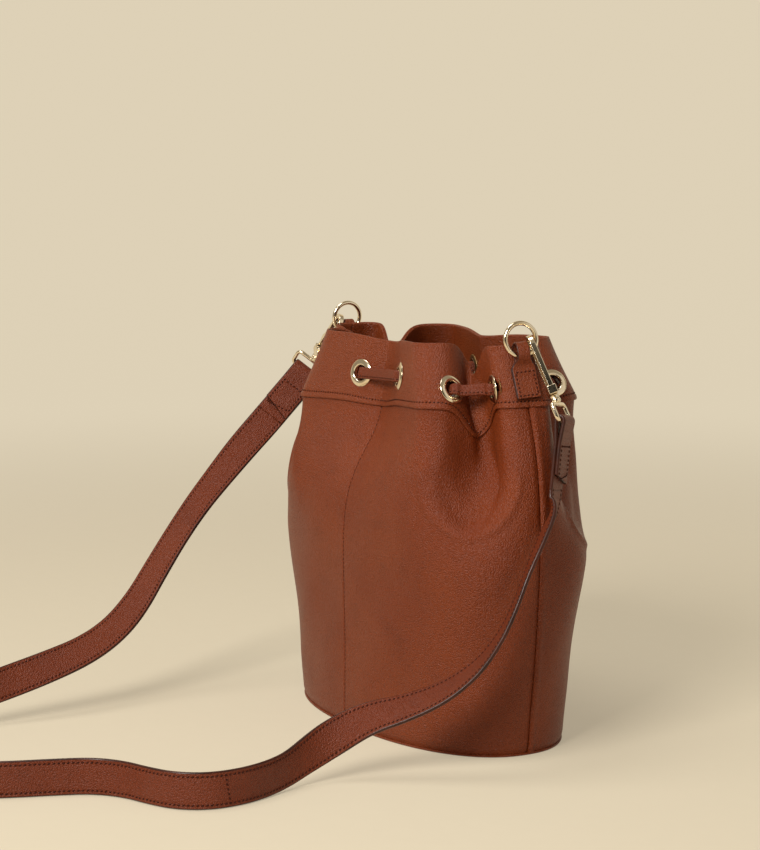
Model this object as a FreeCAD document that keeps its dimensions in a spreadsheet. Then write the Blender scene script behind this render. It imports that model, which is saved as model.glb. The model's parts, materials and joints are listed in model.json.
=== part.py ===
import FreeCAD, Part
import math
import os

import Sketcher
from FreeCAD import Placement, Rotation, Vector

# A drawstring bucket bag in leather with a detachable shoulder strap.  Millimetres, +Z up.
# The origin is the middle of the base on the surface that the bag stands on, +X points to the
# near end, -Y is the front.  "turn" runs round the bag: 0 front centre, 1 near end, 2 back
# centre, 3 far end.  "rise" is the height measured up the leather.

doc = FreeCAD.newDocument("bucket_bag")


# ---------------------------------------------------------------- driving dimensions
class Size:
    """A number together with the spreadsheet expression that gives it."""

    def __init__(self, value, text):
        self.value = value
        self.text = text

    def joined(self, other, sign, value, swapped=False):
        other_text = other.text if isinstance(other, Size) else repr(other)
        first, second = (other_text, self.text) if swapped else (self.text, other_text)
        return Size(value, "(" + first + " " + sign + " " + second + ")")

    def __add__(self, other):
        return self.joined(other, "+", self.value + number(other))

    def __radd__(self, other):
        return self.joined(other, "+", number(other) + self.value, True)

    def __sub__(self, other):
        return self.joined(other, "-", self.value - number(other))

    def __rsub__(self, other):
        return self.joined(other, "-", number(other) - self.value, True)

    def __mul__(self, other):
        return self.joined(other, "*", self.value * number(other))

    def __rmul__(self, other):
        return self.joined(other, "*", number(other) * self.value, True)

    def __truediv__(self, other):
        return self.joined(other, "/", self.value / number(other))

    def __neg__(self):
        return Size(-self.value, "(0 - " + self.text + ")")


def number(size):
    return size.value if isinstance(size, Size) else size


SIZES = [
    # the bag's outline at six levels: rise, half length, half width, squareness of the oval,
    # how much fuller the back is than the front, and how far the gathers stand out
    ("base_rise", 0), ("base_length", 131.5), ("base_width", 69.5),
    ("base_square", 2.23), ("base_back", 1.0), ("base_gather", 0.95),
    ("low_rise", 60), ("low_length", 138), ("low_width", 69.5),
    ("low_square", 2.4), ("low_back", 1.0), ("low_gather", 0.95),
    ("belly_rise", 130), ("belly_length", 144.5), ("belly_width", 71),
    ("belly_square", 2.85), ("belly_back", 1.05), ("belly_gather", 0.95),
    ("shoulder_rise", 190), ("shoulder_length", 140.5), ("shoulder_width", 79),
    ("shoulder_square", 2.9), ("shoulder_back", 1.06), ("shoulder_gather", 1.01),
    ("seam_rise", 232), ("seam_length", 128.5), ("seam_width", 66),
    ("seam_square", 2.6), ("seam_back", 1.17), ("seam_gather", 1.0),
    ("rim_rise", 276), ("rim_length", 113), ("rim_width", 60),
    ("rim_square", 2.5), ("rim_back", 1.25), ("rim_gather", 1.0),
    # a quarter of the gathered mouth, at the collar seam and at the rim: the middle of the
    # front, the petal beside it, the pinch and the flat at the end
    ("seam_front", 43), ("seam_petal_out", 97), ("seam_petal_width", 61),
    ("seam_pinch_out", 96), ("seam_pinch_width", 9), ("seam_end_width", 20),
    ("rim_front", 36), ("rim_petal_out", 81.5), ("rim_petal_width", 51.5),
    ("rim_pinch_out", 70), ("rim_pinch_width", 11), ("rim_end_width", 16.5),
    ("petal_round", 16), ("pinch_round", 5), ("end_round", 9),
    ("gather_start", 125), ("gather_end", 245), ("pinch_drop", 22), ("front_drop", 3),
    ("seam_tilt", 6), ("end_twist", 12),
    # leather, board and cloth
    ("panel_leather", 1.4), ("collar_leather", 1.5), ("facing_leather", 1.2),
    ("lining_cloth", 0.7), ("base_leather", 1.6), ("base_board", 2.0), ("glue_line", 0.1),
    ("collar_rise", 231), ("panel_top", 235), ("facing_rise", 235.5), ("lining_top", 240),
    ("lining_ease", 7.6), ("side_gap", 0.1),
    # eyelets and drawstring
    ("eyelet_rise", 251), ("gather_eyelet_rise", 245), ("eyelet_outer", 20), ("eyelet_hole", 11), ("eyelet_wall", 0.7),
    ("eyelet_dome", 1.3), ("washer_outer", 18.5), ("washer_dome", 1.0),
    ("front_pair", 0.18), ("front_shift", 0.055), ("petal_eyelet", 0.585),
    ("end_eyelet", 0.86), ("string_width", 8.2), ("string_thick", 2.4), ("string_gap", 0.4),
    # ring tabs and rings
    ("tab_width", 17), ("tab_top_width", 9), ("tab_leather", 1.5), ("tab_foot", 236), ("ring_hole", 18.8),
    ("ring_wire", 3.2), ("ring_lift", 2.2), ("ring_play", 1.4), ("ring_clearance", 0.3),
    # snap hooks
    ("jaw_radius", 4.8), ("hook_bar", 2.6), ("hook_thick", 3.6), ("jaw_length", 30),
    ("hook_base", 6), ("base_thick", 6.2), ("nose_reach", 4.8), ("gate_gap", 0.3),
    ("gate_thick", 2.6), ("gate_width", 3.2), ("gate_side", 0.15), ("knuckle_gap", 0.3),
    ("pin_radius", 1.0), ("pin_clearance", 0.05), ("thumb_radius", 5.5), ("thumb_at", 22),
    ("thumb_thick", 3.0), ("thumb_out", 1.6),
    ("stem_radius", 1.5), ("stem_head", 2.7), ("stem_head_thick", 1.4),
    ("stem_clearance", 0.05), ("swivel_gap", 0.15), ("boss_radius", 3.4), ("boss_length", 5.0),
    ("bail_bar", 2.8), ("bail_height", 9.4), ("bail_clearance", 0.5),
    # shoulder strap
    ("strap_width", 24), ("strap_leather", 2.6), ("flap_length", 42), ("flap_angle", 9),
    ("fold_length", 46), ("fold_clearance", 0.15), ("fold_taper", 15),
]

sheet = doc.addObject("Spreadsheet::Sheet", "sizes")
SIZE = {}
for row, (alias, value) in enumerate(SIZES, start=1):
    sheet.set("A" + str(row), alias.replace("_", " "))
    sheet.set("B" + str(row), str(value))
    sheet.setAlias("B" + str(row), alias)
    SIZE[alias] = Size(float(value), "sizes." + alias)
doc.recompute()
VALUE = {alias: size.value for alias, size in SIZE.items()}


# ---------------------------------------------------------------- the leather surface
def blend(start, end, share):
    return start + (end - start) * share


def ease(low, high, x):
    share = min(max((x - low) / (high - low), 0.0), 1.0)
    return share * share * (3 - 2 * share)


LEVELS = ("base", "low", "belly", "shoulder", "seam", "rim")


def at_rise(what, rise):
    """A size that is given at the six levels, on a smooth curve through them."""
    rows = [(VALUE[level + "_rise"], VALUE[level + "_" + what]) for level in LEVELS]
    rise = min(max(rise, rows[0][0]), rows[-1][0])
    i = 0
    while rise > rows[i + 1][0]:
        i += 1
    (r0, v0), (r1, v1) = rows[i], rows[i + 1]
    span = r1 - r0
    before = rows[max(i - 1, 0)]
    after = rows[min(i + 2, len(rows) - 1)]
    slope0 = (v1 - before[1]) / (r1 - before[0]) * span
    slope1 = (after[1] - v0) / (after[0] - r0) * span
    s = (rise - r0) / span
    return ((2 * s**3 - 3 * s**2 + 1) * v0 + (s**3 - 2 * s**2 + s) * slope0
            + (3 * s**2 - 2 * s**3) * v1 + (s**3 - s**2) * slope1)


class Outline:
    """A quarter outline from the front centre to the near end, measured along its length."""

    def __init__(self, points):
        self.points = points
        self.along = [0.0]
        for a, b in zip(points, points[1:]):
            self.along.append(self.along[-1] + math.dist(a, b))

    def at(self, share):
        target = share * self.along[-1]
        i = 0
        while i < len(self.points) - 2 and target > self.along[i + 1]:
            i += 1
        part = (target - self.along[i]) / (self.along[i + 1] - self.along[i])
        a, b = self.points[i], self.points[i + 1]
        return blend(a[0], b[0], part), blend(a[1], b[1], part)


ARC_STEPS = 6
OVAL_STEPS = 60


def rounded(corners):
    """Straight sides with an arc of its own radius at each inner corner."""
    points = [Vector(*corners[0][:2])]
    for before, corner, after in zip(corners, corners[1:], corners[2:]):
        apex, radius = Vector(*corner[:2]), corner[2]
        back = (Vector(*before[:2]) - apex).normalize()
        onward = (Vector(*after[:2]) - apex).normalize()
        half = back.getAngle(onward) / 2
        middle = apex + (back + onward).normalize() * (radius / math.sin(half))
        start = apex + back * (radius / math.tan(half)) - middle
        end = apex + onward * (radius / math.tan(half)) - middle
        sweep = start.getAngle(end)
        for k in range(ARC_STEPS + 1):
            share = k / ARC_STEPS
            arm = start * math.sin((1 - share) * sweep) + end * math.sin(share * sweep)
            points.append(middle + arm / math.sin(sweep))
    points.append(Vector(*corners[-1][:2]))
    return [(point.x, point.y) for point in points]


def gathered_outline(level):
    def size(name):
        return VALUE[level + "_" + name]

    end = size("length")
    return Outline(rounded([
        (0, -size("front"), 0),
        (size("petal_out"), -size("petal_width"), VALUE["petal_round"]),
        (size("pinch_out"), -size("pinch_width"), VALUE["pinch_round"]),
        (end, -size("end_width"), VALUE["end_round"]),
        (end, 0, 0)]))


GATHERED_SEAM = gathered_outline("seam")
GATHERED_RIM = gathered_outline("rim")
ovals = {}


def oval(rise):
    """The open outline at one rise: a superellipse."""
    if rise not in ovals:
        length, width = at_rise("length", rise), at_rise("width", rise)
        power = 2 / at_rise("square", rise)
        angles = [math.pi / 2 * k / OVAL_STEPS for k in range(OVAL_STEPS + 1)]
        ovals[rise] = Outline([(length * abs(math.sin(a)) ** power,
                                -width * abs(math.cos(a)) ** power) for a in angles])
    return ovals[rise]


PINCH_AT = 0.715
PINCH_SPREAD = 0.08
FRONT_SPREAD = 0.16
END_FROM = 0.8


def leather(turn, rise):
    """A point on the outer face of the bag's leather."""
    quarter = math.floor(turn) % 4
    share = turn - math.floor(turn)
    if quarter % 2:
        share = 1 - share
    x0, y0 = oval(rise).at(share)
    to_rim = (rise - VALUE["seam_rise"]) / (VALUE["rim_rise"] - VALUE["seam_rise"])
    to_rim = min(max(to_rim, 0.0), 1.0)
    low, high = GATHERED_SEAM.at(share), GATHERED_RIM.at(share)
    stand = at_rise("gather", rise)
    x1, y1 = blend(low[0], high[0], to_rim) * stand, blend(low[1], high[1], to_rim) * stand
    end_gap = at_rise("length", rise) - blend(VALUE["seam_length"], VALUE["rim_length"], to_rim) * stand
    x1 += end_gap * ease(END_FROM, 1.0, share)
    gathered = ease(VALUE["gather_start"], VALUE["gather_end"], rise)
    x, y = blend(x0, x1, gathered), blend(y0, y1, gathered)
    drop = VALUE["pinch_drop"] * math.exp(-((share - PINCH_AT) / PINCH_SPREAD) ** 2)
    drop += VALUE["front_drop"] * math.exp(-((share / FRONT_SPREAD) ** 2))
    lifted = ease(VALUE["belly_rise"], VALUE["seam_rise"], rise) * (1 - to_rim)
    z = rise - drop * gathered
    if quarter in (1, 2):
        y = -y * at_rise("back", rise)
    if quarter in (2, 3):
        x = -x
    else:
        twist = math.tan(math.radians(VALUE["end_twist"])) * ease(END_FROM, 1.0, share)
        x += twist * gathered * y
    z += VALUE["seam_tilt"] * lifted * x / VALUE["seam_length"]
    return Vector(x, y, z)


STEP_TURN = 0.004
STEP_RISE = 0.5


def outward(turn, rise):
    """The way straight out of the leather at a point."""
    low = max(rise - STEP_RISE, VALUE["base_rise"])
    high = min(rise + STEP_RISE, VALUE["rim_rise"])
    across = leather(turn + STEP_TURN, rise) - leather(turn - STEP_TURN, rise)
    up = leather(turn, high) - leather(turn, low)
    return across.cross(up).normalize()


def off_leather(turn, rise, out):
    return leather(turn, rise) + outward(turn, rise) * out


def closed(quads):
    """A solid from the four-sided patches of its skin, each made of two flat triangles."""
    faces = []
    for a, b, c, d in quads:
        for corners in ((a, b, c, a), (a, c, d, a)):
            faces.append(Part.Face(Part.makePolygon(corners)))
    shell = Part.Shell(faces)
    shell.sewShape()
    solid = Part.Solid(shell)
    if solid.Volume < 0:
        solid.reverse()
    return solid


def layer(turns, rises, outer, inner):
    """One closed piece of leather or cloth, in flat facets that follow the bag."""
    outside, inside = [[[off_leather(turn, rise, out) for rise in rises] for turn in turns]
                       for out in (outer, inner)]
    last_turn, last_rise = len(turns) - 1, len(rises) - 1
    quads = []
    for i in range(last_turn):
        for j in range(last_rise):
            quads.append([outside[i][j], outside[i + 1][j],
                          outside[i + 1][j + 1], outside[i][j + 1]])
            quads.append([inside[i][j], inside[i][j + 1], inside[i + 1][j + 1], inside[i + 1][j]])
        for j in (0, last_rise):
            quads.append([outside[i][j], outside[i + 1][j], inside[i + 1][j], inside[i][j]])
    for j in range(last_rise):
        for i in (0, last_turn):
            quads.append([outside[i][j], outside[i][j + 1], inside[i][j + 1], inside[i][j]])
    return closed(quads)


def band(middles, ways, width, thick, first=None, last=None):
    """A flat band along a path: its middles, the way its width points at each, and where they
    are given the ways it faces at its two ends."""
    sections = []
    for i, (middle, way) in enumerate(zip(middles, ways)):
        before, after = middles[max(i - 1, 0)], middles[min(i + 1, len(middles) - 1)]
        along = ((middle - before).normalize() if i else Vector())
        along += ((after - middle).normalize() if i < len(middles) - 1 else Vector())
        if i in (0, len(middles) - 1):
            along = (last if i else first) or along
        along.normalize()
        side = (way - along * way.dot(along)).normalize()
        face = along.cross(side)
        sections.append([middle + side * (width / 2 * a) + face * (thick / 2 * b)
                         for a, b in ((-1, -1), (1, -1), (1, 1), (-1, 1))])
    quads = [sections[0], sections[-1][::-1]]
    for one, two in zip(sections, sections[1:]):
        for k in range(4):
            quads.append([one[k], two[k], two[(k + 1) % 4], one[(k + 1) % 4]])
    return closed(quads)


def cord_path(points, bend=0.45, steps=4):
    """Straight runs joined by tangent arcs; gives the middles and the radii of the bends."""
    middles, radii = [points[0]], []
    for before, corner, after in zip(points, points[1:], points[2:]):
        back, onward = before - corner, after - corner
        reach = bend * min(back.Length, onward.Length)
        back.normalize()
        onward.normalize()
        half = back.getAngle(onward) / 2
        radius = reach * math.tan(half)
        radii.append(radius)
        centre = corner + (back + onward).normalize() * (radius / math.sin(half))
        start, end = corner + back * reach - centre, corner + onward * reach - centre
        sweep = start.getAngle(end)
        for k in range(steps + 1):
            share = k / steps
            arm = start * math.sin((1 - share) * sweep) + end * math.sin(share * sweep)
            middles.append(centre + arm / math.sin(sweep))
    middles.append(points[-1])
    return middles, radii


# shares of a quarter at which the leather is creased: close together round the gathers
COLUMNS = (0, 0.12, 0.24, 0.34, 0.41, 0.47, 0.53, 0.60, 0.65, 0.69, 0.73, 0.78, 0.86, 0.92, 1)
EVEN_COLUMNS = (0, 0.12, 0.24, 0.34, 0.47, 0.60, 0.73, 0.86, 1)
FEW_COLUMNS = (0, 0.17, 0.34, 0.47, 0.60, 0.70, 0.78, 0.89, 1)


def columns(first, last, shares=COLUMNS):
    """The turns of the creases between two turns, which are included."""
    turns = {first, last}
    for quarter in range(math.floor(first), math.ceil(last)):
        for share in shares:
            turn = quarter + (share if quarter % 2 == 0 else 1 - share)
            if first < turn < last:
                turns.add(turn)
    return sorted(turns)


def rows(first, last, count):
    return [first + (last - first) * k / (count - 1) for k in range(count)]


FRONT = (-1, 1)
BACK = (1, 3)
PANEL_ROWS = (35, 70, 104, 130, 152, 175, 197, 215)
LINING_ROWS = (70, 122, 160, 192, 216)
KEPT = []


def keep(item, label):
    """Marks a finished piece, whose label is the name of its file."""
    item.Label = label
    KEPT.append(item)
    return item


def feature(label, shape, placement=None):
    item = doc.addObject("Part::Feature", label)
    item.Shape = shape
    if placement:
        item.Placement = placement
    return keep(item, label)


# ---------------------------------------------------------------- walls, base and lining
V = VALUE
BASE_TOP = V["base_leather"] + V["glue_line"]
SKIN = V["panel_leather"]
COLLAR_IN = V["glue_line"]
COLLAR_OUT = COLLAR_IN + V["collar_leather"]
WALLS = {}
for side, (first, last) in (("front", FRONT), ("back", BACK)):
    turns = columns(first, last)
    gap = V["side_gap"] / (2 * V["belly_length"])
    turns[0] += gap
    turns[-1] -= gap
    panel_rows = [BASE_TOP, *PANEL_ROWS, V["collar_rise"], V["panel_top"]]
    feature(side + "_panel", layer(turns, panel_rows, 0, -SKIN))
    lining_rows = [BASE_TOP + V["base_board"] + V["lining_cloth"] + 2 * V["glue_line"],
                   *LINING_ROWS, V["lining_top"]]
    deep = -V["lining_ease"]
    lining_turns = columns(first, last, FEW_COLUMNS)
    lining_turns[0] += gap
    lining_turns[-1] -= gap
    feature("lining_" + side, layer(lining_turns, lining_rows, deep,
                                    deep - V["lining_cloth"]))
    rim = V["rim_rise"]
    middle = V["eyelet_rise"]
    WALLS["collar_" + side] = layer(
        turns, [V["collar_rise"], V["panel_top"], middle, rim], COLLAR_OUT, COLLAR_IN)
    WALLS["facing_" + side] = layer(
        turns, [V["facing_rise"], middle, rim], 0, -V["facing_leather"])


def plate(inset, low, thick):
    """A flat plate of the base outline, set in from the leather's outer face."""
    corners = []
    for turn in columns(-1, 3, EVEN_COLUMNS)[:-1]:
        point = leather(turn, V["base_rise"])
        across = leather(turn + STEP_TURN, V["base_rise"])
        across -= leather(turn - STEP_TURN, V["base_rise"])
        out = across.cross(Vector(0, 0, 1)).normalize()
        corners.append(point - out * inset + Vector(0, 0, low - point.z))
    corners.append(corners[0])
    return Part.Face(Part.makePolygon(corners)).extrude(Vector(0, 0, thick))


feature("base_leather", plate(0, 0, V["base_leather"]))
feature("base_board", plate(SKIN + V["ring_clearance"], BASE_TOP, V["base_board"]))
feature("lining_base", plate(SKIN + V["ring_clearance"], BASE_TOP + V["base_board"]
                             + V["glue_line"], V["lining_cloth"]))

# ---------------------------------------------------------------- eyelets
EYELETS = []
for quarter in range(4):
    for share in (V["front_pair"], V["petal_eyelet"], V["end_eyelet"]):
        turn = quarter + (share if quarter % 2 == 0 else 1 - share)
        rise = V["gather_eyelet_rise"]
        if share == V["front_pair"]:
            turn += V["front_shift"] * (1 if quarter in (0, 3) else -1)
            rise = V["eyelet_rise"]
        EYELETS.append((turn, rise))
EYELETS.sort()


def eyelet_place(turn, rise):
    """The frame of an eyelet: Z straight out of the leather, Y up it."""
    out = outward(turn, rise)
    up = leather(turn, rise + 5) - leather(turn, rise - 5)
    up = (up - out * up.dot(out)).normalize()
    return Placement(leather(turn, rise), Rotation(up.cross(out), up, out, "ZYX"))


def turned(profile, sides):
    """A ring about Z from its half section, in flat facets."""
    rings = []
    for k in range(sides):
        angle = 2 * math.pi * k / sides
        rings.append([Vector(radius * math.cos(angle), radius * math.sin(angle), z)
                      for radius, z in profile])
    quads = []
    for k in range(sides):
        one, two = rings[k], rings[(k + 1) % sides]
        for i in range(len(profile)):
            j = (i + 1) % len(profile)
            quads.append([one[i], two[i], two[j], one[j]])
    return closed(quads)


EYELET_SIDES = 14
RING_SIDES = 28
WIRE_SIDES = 8


HOLE = V["eyelet_hole"] / 2
BARREL = HOLE + V["eyelet_wall"]
WASHER_TOP = -V["facing_leather"] - V["glue_line"]
BARREL_END = WASHER_TOP - V["washer_dome"]
FLANGE_UNDER = COLLAR_OUT + V["glue_line"]
flange = turned([(HOLE, BARREL_END), (HOLE, FLANGE_UNDER + V["eyelet_dome"]),
                 (V["eyelet_outer"] / 2, FLANGE_UNDER), (BARREL, FLANGE_UNDER),
                 (BARREL, BARREL_END)], EYELET_SIDES)
washer = turned([(BARREL + V["glue_line"], WASHER_TOP), (V["washer_outer"] / 2, WASHER_TOP),
                 (BARREL + V["glue_line"], BARREL_END)], EYELET_SIDES)
angles = [2 * math.pi * k / EYELET_SIDES for k in range(EYELET_SIDES + 1)]
hole = Part.Face(Part.makePolygon(
    [Vector(math.cos(a), math.sin(a), 0) * (BARREL + V["glue_line"]) + Vector(0, 0, -7)
     for a in angles])).extrude(Vector(0, 0, 14))


def placed(shape, placement):
    shape = shape.copy()
    shape.Placement = placement
    return shape


places = [eyelet_place(turn, rise) for turn, rise in EYELETS]
for label, wall in WALLS.items():
    first, last = FRONT if "front" in label else BACK
    for (turn, rise), place in zip(EYELETS, places):
        if first < turn < last or first < turn - 4 < last:
            wall = wall.cut(placed(hole, place))
    feature(label, wall)
feature("eyelet_flanges", Part.makeCompound([placed(flange, place) for place in places]))
feature("eyelet_washers", Part.makeCompound([placed(washer, place) for place in places]))

# ---------------------------------------------------------------- drawstring
HALF_STRING = V["string_thick"] / 2
OUTSIDE = FLANGE_UNDER + V["eyelet_dome"] + V["string_gap"] + HALF_STRING
INSIDE = BARREL_END - V["string_gap"] - HALF_STRING
route, ups = [], []
for count, place in enumerate(places):
    out = place.Rotation.multVec(Vector(0, 0, 1))
    up = place.Rotation.multVec(Vector(0, 1, 0))
    reaches = (OUTSIDE, INSIDE) if count % 2 == 0 else (INSIDE, OUTSIDE)
    for reach in reaches:
        route.append(place.Base + out * reach)
        ups.append(up)
lap = (route[0] + route[-1]) * 0.5
along = (route[0] - route[-1]).normalize()
route = [lap + along * 0.1] + route + [lap - along * 0.1]
ups = [ups[0]] + ups + [ups[-1]]
middles, radii = cord_path(route, steps=2)
ways = [ups[0]]
for i in range(1, len(route) - 1):
    ways += [ups[i]] * 3
ways.append(ups[-1])
print("drawstring bends, mm:", " ".join("%.1f" % radius for radius in radii))
feature("drawstring", band(middles, ways, V["string_width"], V["string_thick"]))

# ---------------------------------------------------------------- parametric hardware
S = SIZE


def solid(kind, name, at=(0, 0, 0), turn=None, **sizes):
    """A Part primitive whose sizes and place are bound to the sheet."""
    item = doc.addObject("Part::" + kind, name)
    for what, size in sizes.items():
        if isinstance(size, Size):
            item.setExpression(what, size.text)
        else:
            setattr(item, what, size)
    item.Placement = Placement(Vector(*[number(size) for size in at]), turn or Rotation())
    for axis, size in zip("xyz", at):
        if isinstance(size, Size):
            item.setExpression("Placement.Base." + axis, size.text)
    return item


def box(name, low, high):
    """A box from its low corner to its high corner."""
    length, width, height = [b - a for a, b in zip(low, high)]
    return solid("Box", name, low, Length=length, Width=width, Height=height)


ALONG_X = Rotation(Vector(0, 1, 0), 90)
ALONG_Y = Rotation(Vector(1, 0, 0), -90)


def rod(name, at, radius, length, turn=None):
    return solid("Cylinder", name, at, turn, Radius=radius, Height=length)


def fused(name, *items):
    item = doc.addObject("Part::MultiFuse", name)
    item.Shapes = list(items)
    return item


def cut(name, base, *tools):
    item = doc.addObject("Part::Cut", name)
    item.Base = base
    item.Tool = tools[0] if len(tools) == 1 else fused(name + "_tools", *tools)
    return item


def padded(name, loops, width, shift=0):
    """A body padded evenly to both sides of its profile, drawn in X and Z."""
    body = doc.addObject("PartDesign::Body", name)
    sketch = body.newObject("Sketcher::SketchObject", name + "_profile")
    plane = [item for item in body.Origin.OriginFeatures if item.Role == "XZ_Plane"][0]
    sketch.AttachmentSupport = [(plane, "")]
    sketch.MapMode = "FlatFace"
    for loop in loops:
        first = sketch.GeometryCount
        corners = [Vector(number(x), number(z), 0) for x, z in loop]
        ends = corners[1:] + corners[:1]
        sketch.addGeometry([Part.LineSegment(a, b) for a, b in zip(corners, ends)])
        for k in range(len(loop)):
            follows = first + (k + 1) % len(loop)
            sketch.addConstraint(Sketcher.Constraint("Coincident", first + k, 2, follows, 1))
        for k, corner in enumerate(loop):
            for kind, size in zip(("DistanceX", "DistanceY"), corner):
                bound = Sketcher.Constraint(kind, -1, 1, first + k, 1, float(number(size)))
                index = sketch.addConstraint(bound)
                if isinstance(size, Size):
                    sketch.setExpression("Constraints[" + str(index) + "]", size.text)
    pad = body.newObject("PartDesign::Pad", name + "_pad")
    pad.Profile = sketch
    pad.Midplane = True
    pad.setExpression("Length", width.text)
    return body


# Where a ring and its hook stand: the turn, the ring's lean and then, in the ring's own frame,
# the middle of the hook's jaw arch, the ways down the hook, from its spine to its gate and
# across the bail, and how the strap leaves.
ENDS = {
    "near": (1, 16, (1.332092, 7.294757, -4.941449), (0.2986931, 0.1942525, -0.934366),
             (-0.9254803, 0.2977831, -0.2339702), (-0.7266664, 0.652318, -0.2178971),
             (0.1231279, -0.3233018, -0.9384452)),
    "far": (3, 12, (0.768587, 7.49, -4.657747), (0.5973857, 0.1347, -0.7905336),
            (0.7779204, -0.3368, 0.5304721), (0.5567276, 0.6, 0.5804777),
            (-0.1314179, 0.75, -0.6505608)),
}


def frame(origin, x_way, z_way):
    """A placement with Z along z_way and X as near x_way as it can be."""
    z_way = Vector(*z_way).normalize()
    x_way = Vector(*x_way)
    x_way = (x_way - z_way * x_way.dot(z_way)).normalize()
    return Placement(origin, Rotation(x_way, z_way.cross(x_way), z_way, "ZXY"))


def tab(end, place, rim_height, standing):
    """A leather tab folded over the ring, its two legs sewn together below it."""
    t, wire = S["tab_leather"], S["ring_wire"]
    slot = wire + 2 * S["ring_clearance"] + 2 * S["ring_play"]
    centre = rim_height + S["ring_lift"]
    low = centre - S["ring_hole"] / 2 - wire - S["ring_clearance"]
    high = centre - S["ring_hole"] / 2 * 0.4
    outer = [(0.0, 0.0), (t * 2, 0.0), (t * 2, low - 5), (slot + t * 2, low + 2.5),
             (slot + t * 2, high), (slot + t, high + t), (t, high + t), (0.0, high)]
    tunnel = [(t, low + 2), (t + (slot - wire / 2) / 2, low), (t + (slot + wire / 2) / 2, low),
              (t + slot, low + 2), (t + slot, high), (t, high)]
    folded = padded(end + "_tab_folded", [outer, tunnel], S["tab_width"])
    half, narrow = S["tab_width"] / 2, S["tab_top_width"] / 2
    front = [(-half, -1.0), (half, -1.0), (half, low - 6), (narrow, low), (narrow, high + t * 2),
             (-narrow, high + t * 2), (-narrow, low), (-half, low - 6)]
    front = padded(end + "_tab_front", [front], slot * 6)
    front.Placement = Placement(Vector(), Rotation(Vector(0, 0, 1), 90))
    body = doc.addObject("Part::Common", end + "_tab_leather")
    body.Base, body.Tool = folded, front
    body.Placement = place.multiply(Placement(Vector(standing, 0, 0), Rotation()))
    keep(body, end + "_tab")
    out = standing + V["tab_leather"] + number(slot) / 2
    return Vector(out, 0, number(centre))


def ring(end, place):
    """A round ring of round wire, in flat facets."""
    wire, middle = V["ring_wire"] / 2, (V["ring_hole"] + V["ring_wire"]) / 2
    angles = [2 * math.pi * (k + 0.5) / WIRE_SIDES for k in range(WIRE_SIDES)]
    section = [(middle + wire * math.cos(a), wire * math.sin(a)) for a in angles]
    turn = Placement(Vector(), ALONG_X)
    return feature(end + "_ring", turned(section, RING_SIDES), place.multiply(turn))


def hook(end, place):
    """A snap hook hung from the middle of its jaw arch, Z down it, X from spine to gate."""
    r, b, t, deep = S["jaw_radius"], S["hook_bar"], S["hook_thick"], S["jaw_length"]
    gate, wide = S["gate_thick"], S["gate_width"]
    name = end + "_hook_"
    arch = solid("Cylinder", name + "arch", (0, -t / 2, 0), ALONG_Y, Radius=r + b, Height=t,
                 Angle=180)
    spine = box(name + "spine", (-r - b, -t / 2, 0.0), (-r, t / 2, deep + 1))
    nose = box(name + "nose", (r, -t / 2, 0.0), (r + b, t / 2, S["nose_reach"]))
    base = box(name + "base", (-r - b, -S["base_thick"] / 2, deep),
               (r + gate + S["knuckle_gap"], S["base_thick"] / 2, deep + S["hook_base"]))
    jaw = rod(name + "jaw", (0, -t / 2 - 1, 0), r, t + 2, ALONG_Y)
    pin_x, pin_z = r + gate / 2, deep + S["hook_base"] / 2
    slot = box(name + "slot", (r - 1, -wide / 2 - S["gate_side"], deep - 1),
               (r + gate + 2, wide / 2 + S["gate_side"],
                pin_z + gate / 2 + S["knuckle_gap"]))
    stem = rod(name + "stem_hole", (0, 0, deep - 1), S["stem_radius"] + S["stem_clearance"],
               S["hook_base"] + 2)
    pin_hole = rod(name + "pin_hole", (pin_x, -S["base_thick"] / 2 - 1, pin_z),
                   S["pin_radius"] + S["pin_clearance"], S["base_thick"] + 2, ALONG_Y)
    frame_part = fused(name + "casting", arch, spine, nose, base)
    body = cut(name + "body", frame_part, jaw, slot, stem, pin_hole)
    body.Placement = place
    keep(body, end + "_hook_body")

    top = S["nose_reach"] + S["gate_gap"]
    bar = box(name + "gate_bar", (r, -wide / 2, top), (r + gate, wide / 2, pin_z))
    knuckle = rod(name + "knuckle", (pin_x, -wide / 2, pin_z), gate / 2, wide, ALONG_Y)
    thumb = rod(name + "thumb", (r + gate - S["thumb_radius"] + S["thumb_out"],
                                 -S["thumb_thick"] / 2, S["thumb_at"]),
                S["thumb_radius"], S["thumb_thick"], ALONG_Y)
    inner = box(name + "thumb_inner", (-r * 2, -t, 0.0), (r, t, deep))
    thumb = cut(name + "thumb_piece", thumb, inner)
    bore = rod(name + "gate_bore", (pin_x, -wide, pin_z), S["pin_radius"] + S["pin_clearance"],
               wide * 2, ALONG_Y)
    gate_item = cut(name + "gate", fused(name + "gate_solid", bar, knuckle, thumb), bore)
    gate_item.Placement = place
    keep(gate_item, end + "_hook_gate")
    pin = rod(end + "_gate_pin", (pin_x, -S["base_thick"] / 2, pin_z), S["pin_radius"],
              S["base_thick"], ALONG_Y)
    pin.setExpression("Placement.Base.x", None)
    pin.setExpression("Placement.Base.y", None)
    pin.setExpression("Placement.Base.z", None)
    pin.Placement = place.multiply(pin.Placement)
    keep(pin, end + "_gate_pin")


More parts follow.
